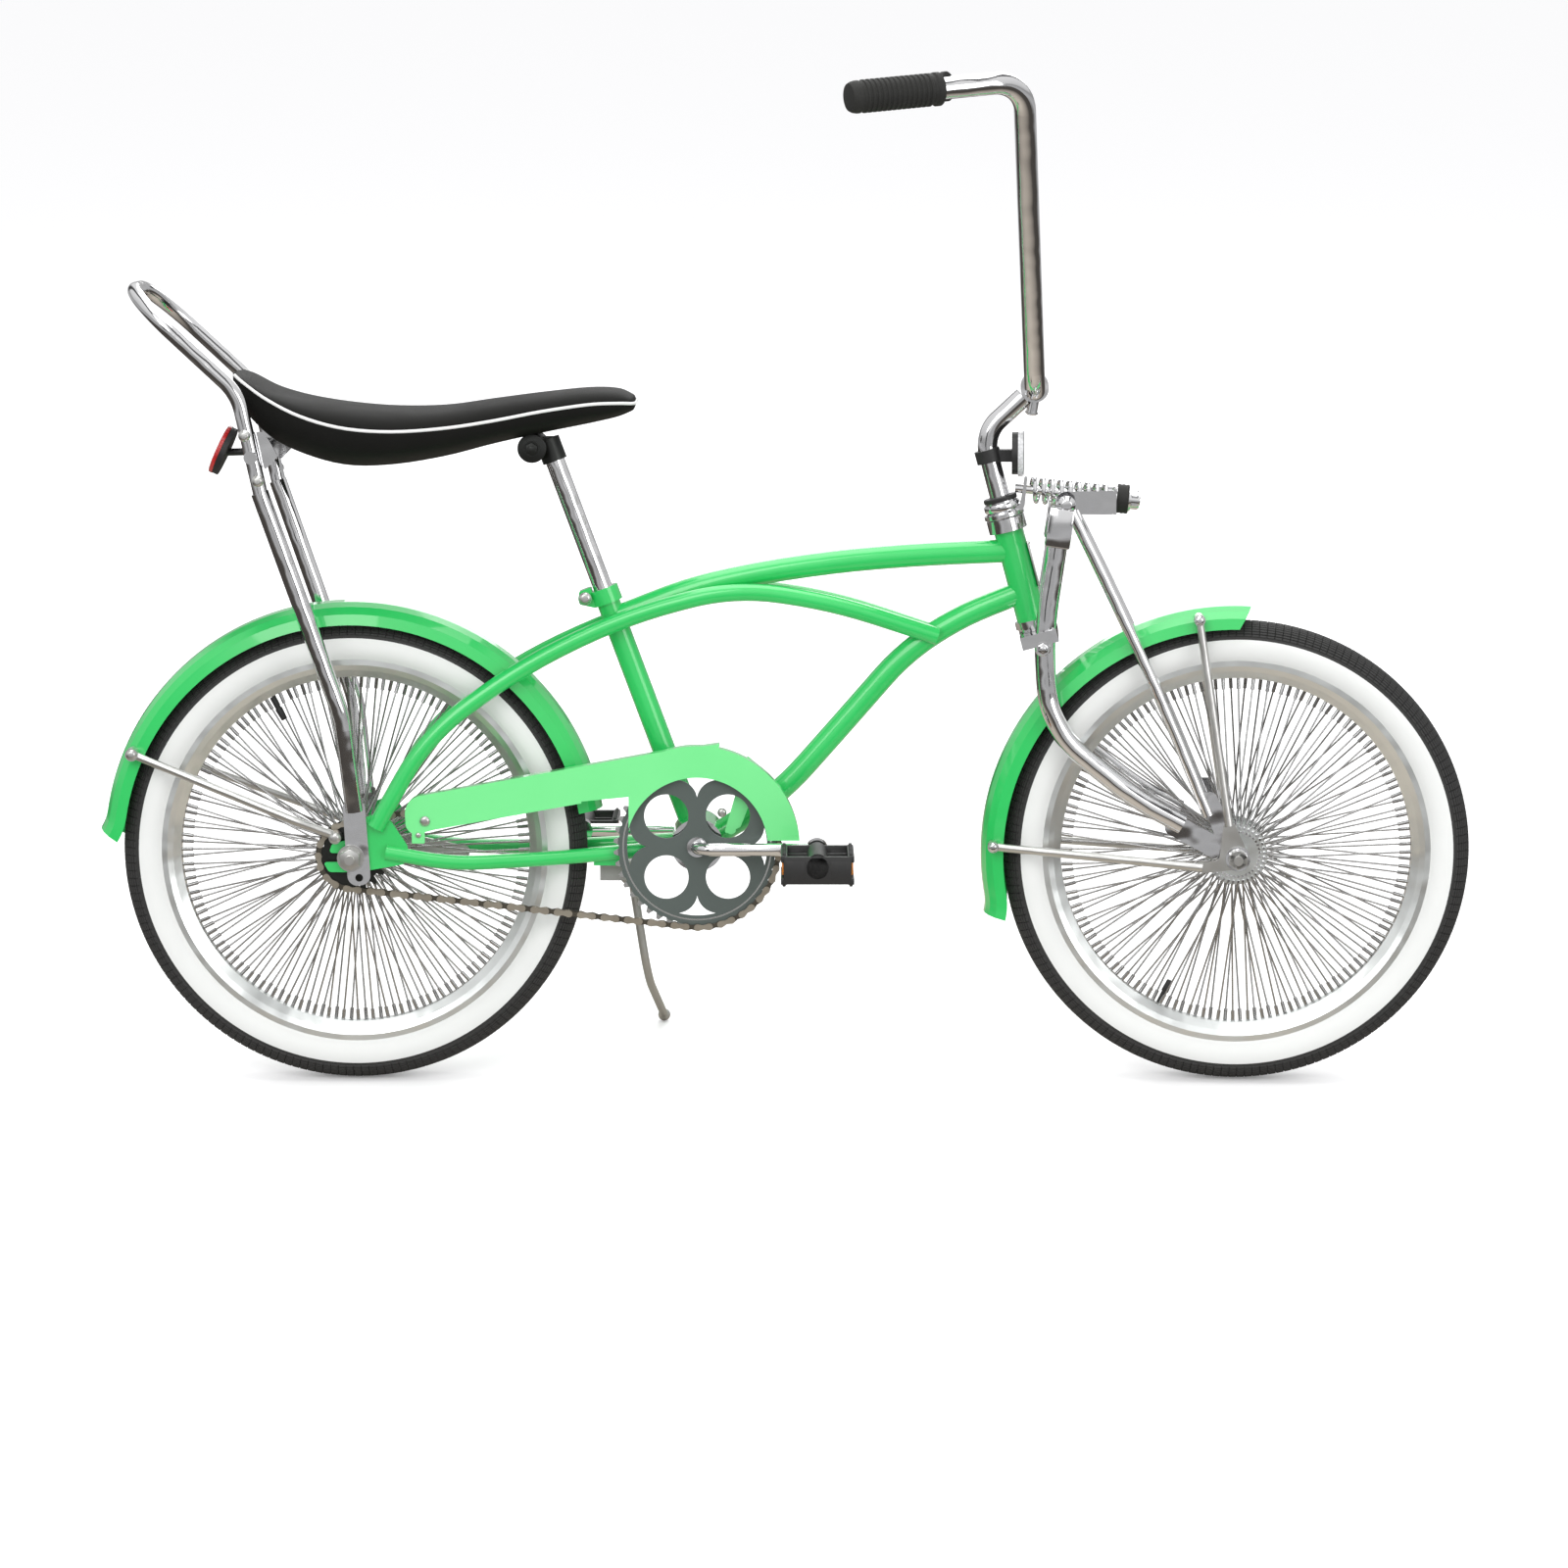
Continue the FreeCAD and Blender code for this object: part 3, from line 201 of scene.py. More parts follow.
# %% [markdown]
# The room is lit evenly, but mirrors see a room with a pale ceiling, two dark uprights beside the
# camera, and a floor that is warm near by, dark further off and grey at the horizon. The uprights
# give a standing tube its two dark lines, and the dark floor gives one to a lying tube. The camera
# sees a nearly white floor that glows only a little, so the tyres' own shadows stay on it.

# %% Room
EVEN_LIGHT = (0.86, 0.86, 0.87, 1)
BACKDROP = (1, 1, 1, 1)
# Places along each ramp, from 0 to 1, and how bright the mirrored room is there.
HEIGHT_STOPS = ((0.0, 0.25), (0.5, 0.42), (0.54, 0.46), (0.57, 0.7), (0.63, 0.84), (1.0, 1.0))
SIDE_STOPS = ((0.0, 1.0), (0.3, 1.0), (0.38, 0.1), (0.5, 0.07), (0.58, 0.95), (1.0, 0.8))

world = bpy.data.worlds.new("studio")
bpy.context.scene.world = world
world.use_nodes = True


def room_node(kind, inputs, **settings):
    made = world.node_tree.nodes.new("ShaderNode" + kind)
    for key, setting in settings.items():
        setattr(made, key, setting)
    for key, value in inputs.items():
        if isinstance(value, bpy.types.NodeSocket):
            world.node_tree.links.new(value, made.inputs[key])
        else:
            made.inputs[key].default_value = value
    return made


def room_mix(share, first, second, blend="MIX"):
    inputs = {0: share, 6: first, 7: second}
    return room_node("Mix", inputs, data_type="RGBA", blend_type=blend).outputs[2]


def room_ramp(value, stops):
    made = room_node("ValToRGB", {0: value})
    for place, level in stops[1:-1]:
        made.color_ramp.elements.new(place)
    for element, (place, level) in zip(made.color_ramp.elements, stops):
        element.position = place
        element.color = (level, level, level, 1)
    return made.outputs[0]


rays = room_node("LightPath", {}).outputs
toward = room_node("SeparateXYZ", {0: room_node("TexCoord", {}).outputs["Generated"]}).outputs
height = room_node("Math", {0: toward["Z"], 1: 0.5, 2: 0.5}, operation="MULTIPLY_ADD").outputs[0]
aside = room_node("Math", {0: toward["X"]}, operation="ABSOLUTE").outputs[0]
mirrored_room = room_mix(1.0, room_ramp(height, HEIGHT_STOPS), room_ramp(aside, SIDE_STOPS),
                         "MULTIPLY")
lit = room_mix(rays["Is Glossy Ray"], EVEN_LIGHT, mirrored_room)
seen = room_mix(rays["Is Camera Ray"], lit, BACKDROP)
world.node_tree.links.new(seen, world.node_tree.nodes["Background"].inputs[0])

# %% Floor
# The mirrored floor changes from its near colour to the dark one and then to the far one, over
# these distances from the middle, in metres.
NEAR_FLOOR, DARK_FLOOR, FAR_FLOOR = (0.46, 0.41, 0.35), (0.05, 0.045, 0.04), (0.5, 0.5, 0.5)
NEAR_TO_DARK = (0.5, 1.5)
DARK_TO_FAR = (2.6, 5.0)
FLOOR_HALF = 30
FLOOR_BELOW = 0.0005


def flat_sheet(name, half, height):
    sheet = bmesh.new()
    bmesh.ops.create_grid(sheet, x_segments=1, y_segments=1, size=half)
    bmesh.ops.translate(sheet, vec=(0, 0, height), verts=sheet.verts)
    mesh = bpy.data.meshes.new(name)
    sheet.to_mesh(mesh)
    made = bpy.data.objects.new(name, mesh)
    bpy.context.scene.collection.objects.link(made)
    return made


floor = flat_sheet("floor", FLOOR_HALF, -FLOOR_BELOW)
floor_finish = Finish("floor")
sight = floor_finish.node("LightPath", {}, {}, "Is Camera Ray")
mirror = floor_finish.node("LightPath", {}, {}, "Is Glossy Ray")


def floor_ramp(value, start, end):
    return floor_finish.node("MapRange", {}, {"Value": value, "From Min": start, "From Max": end})


away = floor_finish.node("VectorMath", {"operation": "LENGTH"}, {0: floor_finish.place}, "Value")
mirrored = floor_finish.mix(floor_ramp(away, *NEAR_TO_DARK), NEAR_FLOOR, DARK_FLOOR)
mirrored = floor_finish.mix(floor_ramp(away, *DARK_TO_FAR), mirrored, FAR_FLOOR)
glow = floor_finish.mix(sight, (0.0, 0.0, 0.0), (0.14, 0.14, 0.14))
bare_floor = floor_finish.mix(sight, (0.62, 0.62, 0.62), (0.95, 0.95, 0.95))
floor_finish.set(Emission_Color=glow, Emission_Strength=1.0, Roughness=0.9,
                 Specular_IOR_Level=0.0,
                 Base_Color=floor_finish.mix(mirror, bare_floor, mirrored))
floor.data.materials.append(floor_finish.material)

# %% [markdown]
# Paint on a bicycle is a thick clear coat over colour: smooth, with a faint ripple that only the
# reflections show. A low, wide noise as bump makes that ripple.

# %% Green paint
def green(name, deep, bright):
    made = Finish(name)
    cloud = made.noise(9.0)
    made.set(Base_Color=made.mix(cloud, deep, bright), Roughness=0.28 + 0.06 * cloud,
             Coat_Weight=1.0, Coat_Roughness=0.04)
    return made.bump(made.noise(240.0, 1.0), 0.05, 0.0004)


paint = green("green_paint", (0.012, 0.5, 0.09), (0.026, 0.6, 0.13))
# The chain guard gets a lighter copy of the same green: painted light, standing in for the bright
# light that falls on its face.
guard_paint_lit = green("guard_paint_lit", (0.15, 0.76, 0.24), (0.2, 0.82, 0.29))

# %% [markdown]
# Chrome and polished alloy differ in how sharp their mirror is. A smudge map and two bumps keep
# the metal from looking like computed glass: a fine one for the grain, and a wide one for the
# ripple that pressed plates and bent tubes keep under their plating.

# %% Bright metals
def bright_metal(name, colour, rough, smear):
    metal = Finish(name)
    marks = metal.noise(60.0, 4.0)
    metal.set(Base_Color=colour, Metallic=1.0, Roughness=rough + smear * marks)
    return metal.bump(metal.noise(30.0, 1.0) + 0.004 * metal.noise(420.0, 2.0), 0.6, 0.003)


chrome = bright_metal("chrome", (0.80, 0.80, 0.81), 0.05, 0.09)
alloy = bright_metal("rim_alloy", (0.90, 0.93, 0.92), 0.24, 0.14)
spoke_steel = bright_metal("spoke_steel", (0.42, 0.42, 0.42), 0.2, 0.12)
zinc = bright_metal("zinc", (0.66, 0.66, 0.64), 0.24, 0.2)
cast = bright_metal("cast_alloy", (0.5, 0.51, 0.5), 0.42, 0.16)
chain_steel = bright_metal("chain_steel", (0.46, 0.42, 0.35), 0.34, 0.2)
inner_steel = bright_metal("inner_link_steel", (0.12, 0.11, 0.09), 0.4, 0.2)
dark_steel = bright_metal("dark_steel", (0.05, 0.052, 0.05), 0.36, 0.16)

# %% [markdown]
# Rubber, vinyl and plastic are told apart by their grain. Each gets a fine bump at its own scale,
# and a little change of sheen, because handling polishes the high places.

# %% Rubber, vinyl and plastic
def moulded(name, colour, rough, grain, depth, tint=0.25, shine=0.5):
    made = Finish(name)
    cloud = made.noise(26.0)
    darker = tuple(channel * (1 - tint) for channel in colour)
    made.set(Base_Color=made.mix(cloud, darker, colour), Roughness=rough + 0.14 * cloud,
             Specular_IOR_Level=shine)
    cells = made.node("TexVoronoi", {}, {"Vector": made.place, "Scale": grain}, "Distance")
    made.bump(cells + 0.5 * made.noise(grain * 0.6), 0.35, depth)
    return made


tread_rubber = moulded("tread_rubber", (0.034, 0.034, 0.033), 0.62, 900.0, 0.0003)
white_rubber = moulded("white_rubber", (0.80, 0.81, 0.79), 0.46, 500.0, 0.00012, 0.05)
vinyl = moulded("vinyl", (0.012, 0.012, 0.011), 0.46, 1300.0, 0.00018, shine=0.05)
piping_white = moulded("piping", (0.78, 0.78, 0.77), 0.42, 900.0, 0.0001, 0.05)
grip_rubber = moulded("grip_rubber", (0.024, 0.024, 0.022), 0.56, 1100.0, 0.0002, shine=0.3)
black_plastic = moulded("black_plastic", (0.022, 0.022, 0.022), 0.42, 800.0, 0.00016)

# %% [markdown]
# A reflector's lens is a field of small cube corners behind a smooth face. A coarse cell pattern
# as bump under a clear coat catches the light the same way.

# %% Lenses
def lens(name, colour):
    made = Finish(name)
    cells = made.node("TexVoronoi", {"distance": "CHEBYCHEV"},
                      {"Vector": made.place, "Scale": 330.0}, "Distance")
    darker = tuple(channel * 0.55 for channel in colour)
    made.set(Base_Color=made.mix(cells, colour, darker), Roughness=0.2, Coat_Weight=1.0)
    return made.bump(cells, 0.7, 0.0012)


amber = lens("amber_lens", (0.85, 0.26, 0.02))
red = lens("red_lens", (0.62, 0.02, 0.02))
clear = lens("clear_lens", (0.78, 0.79, 0.80))

# %% [markdown]
# The chainring is painted grey with a bright turned edge and a bright line inside it. Distance
# from the crank's axle picks the bands: it is the length of what is left of a point's place when
# the part along the axle is taken away.

# %% Chainring paint
to_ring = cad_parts["chainring"].matrix_world.inverted() @ PARKED
RING_CENTRE = to_ring @ BRACKET
RING_AXIS = (to_ring.to_3x3() @ Y).normalized()
BARE_EDGE_FROM = 0.0862
BARE_LINE = (0.0795, 0.0812)
print("chainring's own centre", [round(v, 4) for v in RING_CENTRE])


def radius_from(finish, centre, axis):
    """Distance of the shaded point from an axis, in metres."""
    away = finish.node("VectorMath", {"operation": "SUBTRACT"},
                       {0: finish.place, 1: tuple(centre)})
    across = finish.node("VectorMath", {"operation": "CROSS_PRODUCT"}, {0: away, 1: tuple(axis)})
    return finish.node("VectorMath", {"operation": "LENGTH"}, {0: across}, "Value")


ring_paint = Finish("ring_grey")
radius = radius_from(ring_paint, RING_CENTRE, RING_AXIS)
edge = radius > BARE_EDGE_FROM
line = (radius > BARE_LINE[0]) * (radius < BARE_LINE[1])
bare = ring_paint.node("Math", {"operation": "MAXIMUM"}, {0: edge, 1: line})
ring_paint.set(Base_Color=ring_paint.mix(bare, (0.105, 0.128, 0.118), (0.72, 0.73, 0.72)),
               Metallic=0.25 + 0.75 * bare, Roughness=0.36 - 0.12 * bare)
ring_paint.bump(ring_paint.noise(500.0), 0.08, 0.0003)

# %% [markdown]
# Every metal piece of the model now gets its finish. Its shape is right already, so only its
# material slots are filled.

# %% Finishes on the model's own pieces
FINISHES = {
    paint: ["frame", "front_fender", "rear_fender", "seat_collar"],
    # The chain guard takes the lighter copy of the green, which is painted light.
    guard_paint_lit: ["chain_guard"],
    chrome: ["headset_cups", "bottom_bracket_cups", "seat_post", "saddle_bracket",
             "sissy_hoop", "sissy_legs", "fork_crown", "fork_legs", "fork_struts", "spring_yoke",
             "headset_nuts", "stem", "handlebar", "crank"],
    zinc: ["rear_fender_stays", "front_fender_stays", "rear_axle", "front_axle", "brake_arm"],
    alloy: ["front_rim", "rear_rim", "front_hub", "rear_hub"],
    spoke_steel: ["front_spokes", "rear_spokes"],
    cast: ["stand_bracket", "side_stand"],
    dark_steel: ["sprocket", "saddle_clamp"],
    ring_paint: ["chainring"],
    black_plastic: ["front_reflector", "rear_reflector"],
}
for finish, names in FINISHES.items():
    for name in names:
        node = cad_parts[name]
        for slot in node.material_slots:
            slot.material = finish.material

# %% [markdown]
# A piece is drawn in a bmesh, in millimetres. One function turns it into an object that rides on
# its body: it moves the mesh to where the bicycle is parked and gives it a material.

# %% From bmesh to piece
def piece(shape, name, body, finishes, stance=PARKED, instead_of=(), smooth=True):
    bmesh.ops.transform(shape, matrix=stance, verts=shape.verts)
    bmesh.ops.recalc_face_normals(shape, faces=shape.faces)
    mesh = bpy.data.meshes.new(name)
    shape.to_mesh(mesh)
    shape.free()
    made = bpy.data.objects.new(name, mesh)
    bpy.context.scene.collection.objects.link(made)
    for finish in finishes:
        mesh.materials.append(finish.material)
    if smooth:
        mesh.polygons.foreach_set("use_smooth", [True] * len(mesh.polygons))
        mesh.set_sharp_from_angle(angle=math.radians(35))
    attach(made, body)
    if instead_of:
        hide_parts(*instead_of)
    print(name, len(mesh.polygons), "faces")
    return made


def turned(shape, profile, centre, steps, axis=Y, closed=True):
    """Turns (along, radius) points about an axis through centre, and returns the new faces."""
    out = axis.orthogonal().normalized()
    ring = [shape.verts.new(centre + axis * along + out * radius) for along, radius in profile]
    ends = list(zip(ring, ring[1:] + ring[:1] if closed else ring[1:]))
    edges = [shape.edges.new(pair) for pair in ends]
    before = set(shape.faces)
    bmesh.ops.spin(shape, geom=ring + edges, cent=centre, axis=axis, angle=2 * math.pi,
                   steps=steps, use_merge=True)
    return [face for face in shape.faces if face not in before]

# %% [markdown]
# ## Tyres
# The section is turned into a ring. The white wall is the band of each side below the tread. The
# tread comes from the ring's own faces: each one on the crown is shrunk a little and raised, so no
# block is drawn by hand.

# %% Tyres
TREAD_STEPS = 180
WHITE_TO = 235.0
TREAD_FROM = 238.0
BLOCK_HEIGHT = 1.3
GROOVE = 0.8
SIDE_STEPS = 8
CROWN_STEPS = 20


def tyre_profile():
    mid = TYRE_RADIUS - TYRE_SECTION
    section = TYRE_SECTION - BLOCK_HEIGHT
    start = -math.asin((mid - RIM_OUTER) / section)
    edge = math.asin((WHITE_TO - mid) / section)
    side = [start + (edge - start) * i / SIDE_STEPS for i in range(SIDE_STEPS)]
    crown = [edge + (math.pi - 2 * edge) * i / CROWN_STEPS for i in range(CROWN_STEPS + 1)]
    angles = side + crown + [math.pi - a for a in reversed(side)]
    return [(section * math.cos(a), mid + section * math.sin(a)) for a in angles]


def tyre(name, centre, body, stance, node):
    shape = bmesh.new()
    faces = turned(shape, tyre_profile(), centre, TREAD_STEPS)
    blocks = []
    for face in faces:
        at = face.calc_center_median() - centre
        radius = math.hypot(at.x, at.z)
        face.material_index = 1 if radius < WHITE_TO else 0
        if radius > TREAD_FROM:
            blocks.append(face)
    bmesh.ops.recalc_face_normals(shape, faces=shape.faces)
    bmesh.ops.inset_individual(shape, faces=blocks, thickness=GROOVE)
    for face in blocks:
        bmesh.ops.translate(shape, vec=face.normal * BLOCK_HEIGHT, verts=face.verts)
    return piece(shape, name, body, [tread_rubber, white_rubber], stance, [node])


tyre("front_tyre_detailed", FRONT_AXLE, "front_wheel", STEERED, "front_tyre")
tyre("rear_tyre_detailed", REAR_AXLE, "rear_wheel", PARKED, "rear_tyre")

# %% [markdown]
# Most small pieces are made from three things: a bevelled block, a peg between two points, and a
# skin drawn over a row of rings. Each is one bmesh operator with a little care for its edges.

# %% Blocks, pegs and skins
def block(shape, centre, size, bevel=1.0, tilt=0.0):
    made = bmesh.ops.create_cube(shape, size=1.0)["verts"]
    bmesh.ops.scale(shape, vec=size, verts=made)
    turn = Matrix.Rotation(math.radians(tilt), 4, "Y")
    bmesh.ops.transform(shape, matrix=Matrix.Translation(centre) @ turn, verts=made)
    if bevel:
        edges = list({edge for vert in made for edge in vert.link_edges})
        bmesh.ops.bevel(shape, geom=edges, offset=bevel, segments=2, affect="EDGES",
                        profile=0.5, material=-1)


def peg(shape, start, end, radius, sides=20, tip=None, bevel=0.0):
    start, end = Vector(start), Vector(end)
    turn = (end - start).to_track_quat("Z", "Y").to_matrix().to_4x4()
    made = bmesh.ops.create_cone(shape, cap_ends=True, segments=sides, radius1=radius,
                                 radius2=radius if tip is None else tip,
                                 depth=(end - start).length,
                                 matrix=Matrix.Translation((start + end) / 2) @ turn)["verts"]
    if bevel:
        edges = {edge for vert in made for edge in vert.link_edges}
        rims = [e for e in edges if any(len(face.verts) == sides for face in e.link_faces)]
        bmesh.ops.bevel(shape, geom=rims, offset=bevel, segments=2, affect="EDGES", profile=0.5,
                        material=-1)


def ring_edges(ring):
    members = set(ring)
    return list({edge for vert in ring for edge in vert.link_edges
                 if edge.verts[0] in members and edge.verts[1] in members})


def skin(shape, rings):
    """Bridges each ring of vertices to the next and closes both ends."""
    for first, second in zip(rings, rings[1:]):
        bmesh.ops.bridge_loops(shape, edges=ring_edges(first) + ring_edges(second))
    for ring in (rings[0], rings[-1]):
        bmesh.ops.contextual_create(shape, geom=ring_edges(ring))


def tube(shape, points, radius, sides=8):
    rings = []
    for i, point in enumerate(points):
        along = points[min(i + 1, len(points) - 1)] - points[max(i - 1, 0)]
        turn = along.to_track_quat("Z", "Y").to_matrix().to_4x4()
        rings.append(bmesh.ops.create_circle(shape, segments=sides, radius=radius,
                                             matrix=Matrix.Translation(point) @ turn)["verts"])
    skin(shape, rings)


def both_sides(points):
    return [(x, side * y, z) for x, y, z in points for side in (-1, 1)]

# %% [markdown]
# ## Saddle
# A banana saddle is a long foam pad under tight vinyl. It crowns along its top, its widest line is
# the seam, and below the seam the sides tuck in under the pan. Each ring is such a section, and a
# smooth curve through a few measured sections gives the ones between.

# %% The saddle's sections
# x, lowest z, seam z, highest z, half width
SECTIONS = [(-118, 744, 775, 777, 50), (-106, 728, 767, 773, 66), (-80, 704, 750, 760, 78),
            (-44, 687, 733, 750, 88), (0, 676, 721, 743, 91), (50, 677, 717, 739, 89),
            (105, 686, 720, 740, 83), (156, 699, 727, 747, 74), (210, 711, 737, 754, 68),
            (260, 721, 744, 759, 62), (290, 728, 745, 758, 55), (305, 734, 744, 752, 42)]


def between(rows, share):
    """A smooth curve through the rows, at a share from 0 to 1 of their count."""
    at = share * (len(rows) - 1)
    i = min(int(at), len(rows) - 2)
    t = at - i
    before, after = rows[max(i - 1, 0)], rows[min(i + 2, len(rows) - 1)]
    values = []
    for p, a, b, n in zip(before, rows[i], rows[i + 1], after):
        lift = (b - p) * 0.5 * t * (1 - t) ** 2 - (n - a) * 0.5 * t * t * (1 - t)
        values.append(a * (1 + 2 * t) * (1 - t) ** 2 + b * t * t * (3 - 2 * t) + lift)
    return values


def saddle_ring(shape, x, low, seam, high, half, shrink=1.0):
    ring = bmesh.ops.create_circle(shape, segments=40, radius=1.0)["verts"]
    for vert in ring:
        side, rise = vert.co.x, vert.co.y
        y = half * math.copysign(abs(side) ** 0.8, side)
        if rise > 0:
            z = (high - seam) * rise ** 1.1
        else:
            z = (low - seam) * abs(rise) ** 0.72
            y *= 1 - 0.12 * abs(rise) ** 3
        vert.co = (x, y * shrink, seam + z * shrink)
    return ring


# %% Saddle
shape = bmesh.new()
rings = []
for step, shrink in ((5, 0.45), (3, 0.78), (1.2, 0.93)):
    x, *section = SECTIONS[0]
    rings.append(saddle_ring(shape, x - step, *section, shrink))
for i in range(49):
    rings.append(saddle_ring(shape, *between(SECTIONS, i / 48)))
for step, shrink in ((1.2, 0.93), (2.6, 0.78), (4, 0.45)):
    x, *section = SECTIONS[-1]
    rings.append(saddle_ring(shape, x + step, *section, shrink))
skin(shape, rings)
saddle = piece(shape, "saddle_padded", "frame", [vinyl], instead_of=["saddle"])

# %% [markdown]
# The white piping is a thin cord sewn into the seam. It follows the same curve as the sections, so
# it lies on the saddle's widest line and runs round the nose.

# %% Piping
shape = bmesh.new()
line = []
for i in range(49):
    x, low, seam, high, half = between(SECTIONS, i / 48)
    line.append(Vector((x, half, seam)))
nose = [Vector((309.5, y, 744)) for y in (36, 18, 0)]
line += nose
line += [Vector((p.x, -p.y, p.z)) for p in reversed(line[:-1])]
tube(shape, line, 1.7)
piece(shape, "saddle_piping", "frame", [piping_white])

# %% [markdown]
# ## Chain
# A chain alternates narrow inner links and wide outer ones, each a pair of waisted plates. The
# pins' line is the closed tangent line round both toothed wheels. Rollers are drawn only on the
# free runs, because on the wheels the teeth fill their place.

# %% The line of the pins
PITCH = 12.7
CHAINLINE = -47.0
RING_RADIUS = PITCH / (2 * math.sin(math.pi / 44))
COG_RADIUS = PITCH / (2 * math.sin(math.pi / 18))
TEETH_CLEAR = 16
span = (BRACKET - REAR_AXLE).length
reach = (BRACKET - REAR_AXLE).normalized()
rise = Vector((-reach.z, 0, reach.x))
open_angle = math.acos((COG_RADIUS - RING_RADIUS) / span)
run = math.sqrt(span ** 2 - (RING_RADIUS - COG_RADIUS) ** 2)
ring_arc = 2 * open_angle * RING_RADIUS
cog_arc = 2 * (math.pi - open_angle) * COG_RADIUS
LOOP = 2 * run + ring_arc + cog_arc
LINKS = 2 * round(LOOP / PITCH / 2)


def polar(centre, radius, angle):
    return centre + radius * (reach * math.cos(angle) + rise * math.sin(angle))


def pin_place(distance):
    """A point of the loop and whether it lies on a free run."""
    distance %= LOOP
    if distance < run:
        start, end = (polar(c, r, open_angle) for c, r in ((REAR_AXLE, COG_RADIUS),
                                                            (BRACKET, RING_RADIUS)))
        return start.lerp(end, distance / run), TEETH_CLEAR < distance < run - TEETH_CLEAR
    distance -= run
    if distance < ring_arc:
        return polar(BRACKET, RING_RADIUS, open_angle - distance / RING_RADIUS), False
    distance -= ring_arc
    if distance < run:
        start, end = (polar(c, r, -open_angle) for c, r in ((BRACKET, RING_RADIUS),
                                                             (REAR_AXLE, COG_RADIUS)))
        return start.lerp(end, distance / run), TEETH_CLEAR < distance < run - TEETH_CLEAR
    distance -= run
    return polar(REAR_AXLE, COG_RADIUS, -open_angle - distance / COG_RADIUS), False


print("links", LINKS, "pitch", round(LOOP / LINKS, 3))

# %% Links and rollers
PLATE_HALF = 3.9
PLATE_WAIST = 0.8
PLATE_THICK = 0.8
INNER_PLATE, OUTER_PLATE = 1.9, 2.75
PIN_END, PIN_RADIUS = 3.9, 1.8
ROLLER_HALF, ROLLER_RADIUS = 2.0, 3.8


def link_plate(shape, first, second, y):
    """A plate waisted between its two round ends; returns its faces."""
    half = (second - first).length / 2
    made = bmesh.ops.create_circle(shape, cap_ends=True, segments=20, radius=1.0)["verts"]
    for vert in made:
        x = (half + PLATE_HALF) * vert.co.x
        if abs(x) > half:
            z = math.sqrt(max(0.0, PLATE_HALF ** 2 - (abs(x) - half) ** 2))
        else:
            z = PLATE_HALF - PLATE_WAIST * (1 + math.cos(math.pi * x / half))
        vert.co = (x, math.copysign(z, vert.co.y), 0)
    face = made[0].link_faces[0]
    grown = bmesh.ops.extrude_face_region(shape, geom=[face])["geom"]
    lifted = [item for item in grown if isinstance(item, bmesh.types.BMVert)]
    bmesh.ops.translate(shape, vec=(0, 0, PLATE_THICK), verts=lifted)
    along = (second - first).normalized()
    turn = Matrix((along, along.cross(-Y), -Y)).transposed().to_4x4()
    middle = (first + second) / 2 + Vector((0, y, 0))
    bmesh.ops.transform(shape, matrix=Matrix.Translation(middle) @ turn, verts=made + lifted)
    return {face for vert in made + lifted for face in vert.link_faces}


shape = bmesh.new()
places = [pin_place(LOOP * i / LINKS) for i in range(LINKS)]
for i, (place, free) in enumerate(places):
    following = places[(i + 1) % LINKS][0]
    is_outer = i % 2 == 1
    off_line = OUTER_PLATE if is_outer else INNER_PLATE
    for y in (CHAINLINE - off_line, CHAINLINE + off_line + PLATE_THICK):
        for face in link_plate(shape, place, following, y):
            face.material_index = 0 if is_outer else 1
    for side in (-1, 1):
        peg(shape, place + Y * (CHAINLINE + side * PIN_END),
            place + Y * (CHAINLINE + side * ROLLER_HALF), PIN_RADIUS, 8)
    if free:
        peg(shape, place + Y * (CHAINLINE - ROLLER_HALF), place + Y * (CHAINLINE + ROLLER_HALF),
            ROLLER_RADIUS, 10)
piece(shape, "chain_links", "frame", [chain_steel, inner_steel], instead_of=["chain"])

# %% [markdown]
# ## Fork spring
# A spin with an offset at each step is a screw. One round section, spun nine turns along the
# spring's axis, is the coil. The steel stud that runs through it belongs to the model already.

# %% Fork spring
SPRING_REAR = Vector((734, 0, 649))
SPRING_FRONT = Vector((826, 0, 640))
COIL_TURNS = 9
COIL_STEPS = 26
COIL_WIRE = 2.7
COIL_RADIUS = 15

shape = bmesh.new()
axis = (SPRING_FRONT - SPRING_REAR).normalized()
length = (SPRING_FRONT - SPRING_REAR).length - 2 * COIL_WIRE
start = SPRING_REAR + axis * COIL_WIRE + Y * (COIL_RADIUS - COIL_WIRE)
turn = axis.cross(Y).to_track_quat("Z", "Y").to_matrix().to_4x4()
section = bmesh.ops.create_circle(shape, segments=10, radius=COIL_WIRE,
                                  matrix=Matrix.Translation(start) @ turn)["verts"]
bmesh.ops.spin(shape, geom=section + ring_edges(section), cent=SPRING_REAR, axis=axis,
               dvec=axis * (length / (COIL_TURNS * COIL_STEPS)), angle=2 * math.pi * COIL_TURNS,
               steps=COIL_TURNS * COIL_STEPS, use_merge=False)
bmesh.ops.holes_fill(shape, edges=shape.edges, sides=0)
coil = piece(shape, "fork_coil", "steering", [chrome], STEERED, ["fork_spring"])
print("coil box", [round(v, 3) for v in coil.dimensions])

# %% Rubber bush and end nut of the spring
shape = bmesh.new()
profile = [(0.4, 9), (0.4, 15.4), (2, 16), (5, 15.4), (7, 16), (10, 15.4), (12, 16), (13.6, 15.2),
           (13.6, 9)]
turned(shape, profile, Vector((829, 0, 639.7)), 40, axis)
piece(shape, "spring_bush", "steering", [grip_rubber], STEERED)

# %% [markdown]
# ## Grips and pedals
# A grip is turned round its bar: a closed end, a row of low rings for the fingers and a collar. A
# pedal is a moulded cage. Two end walls carry the axle's barrel, and the front and rear walls
# have teeth on their edges and an amber reflector on their outer faces.

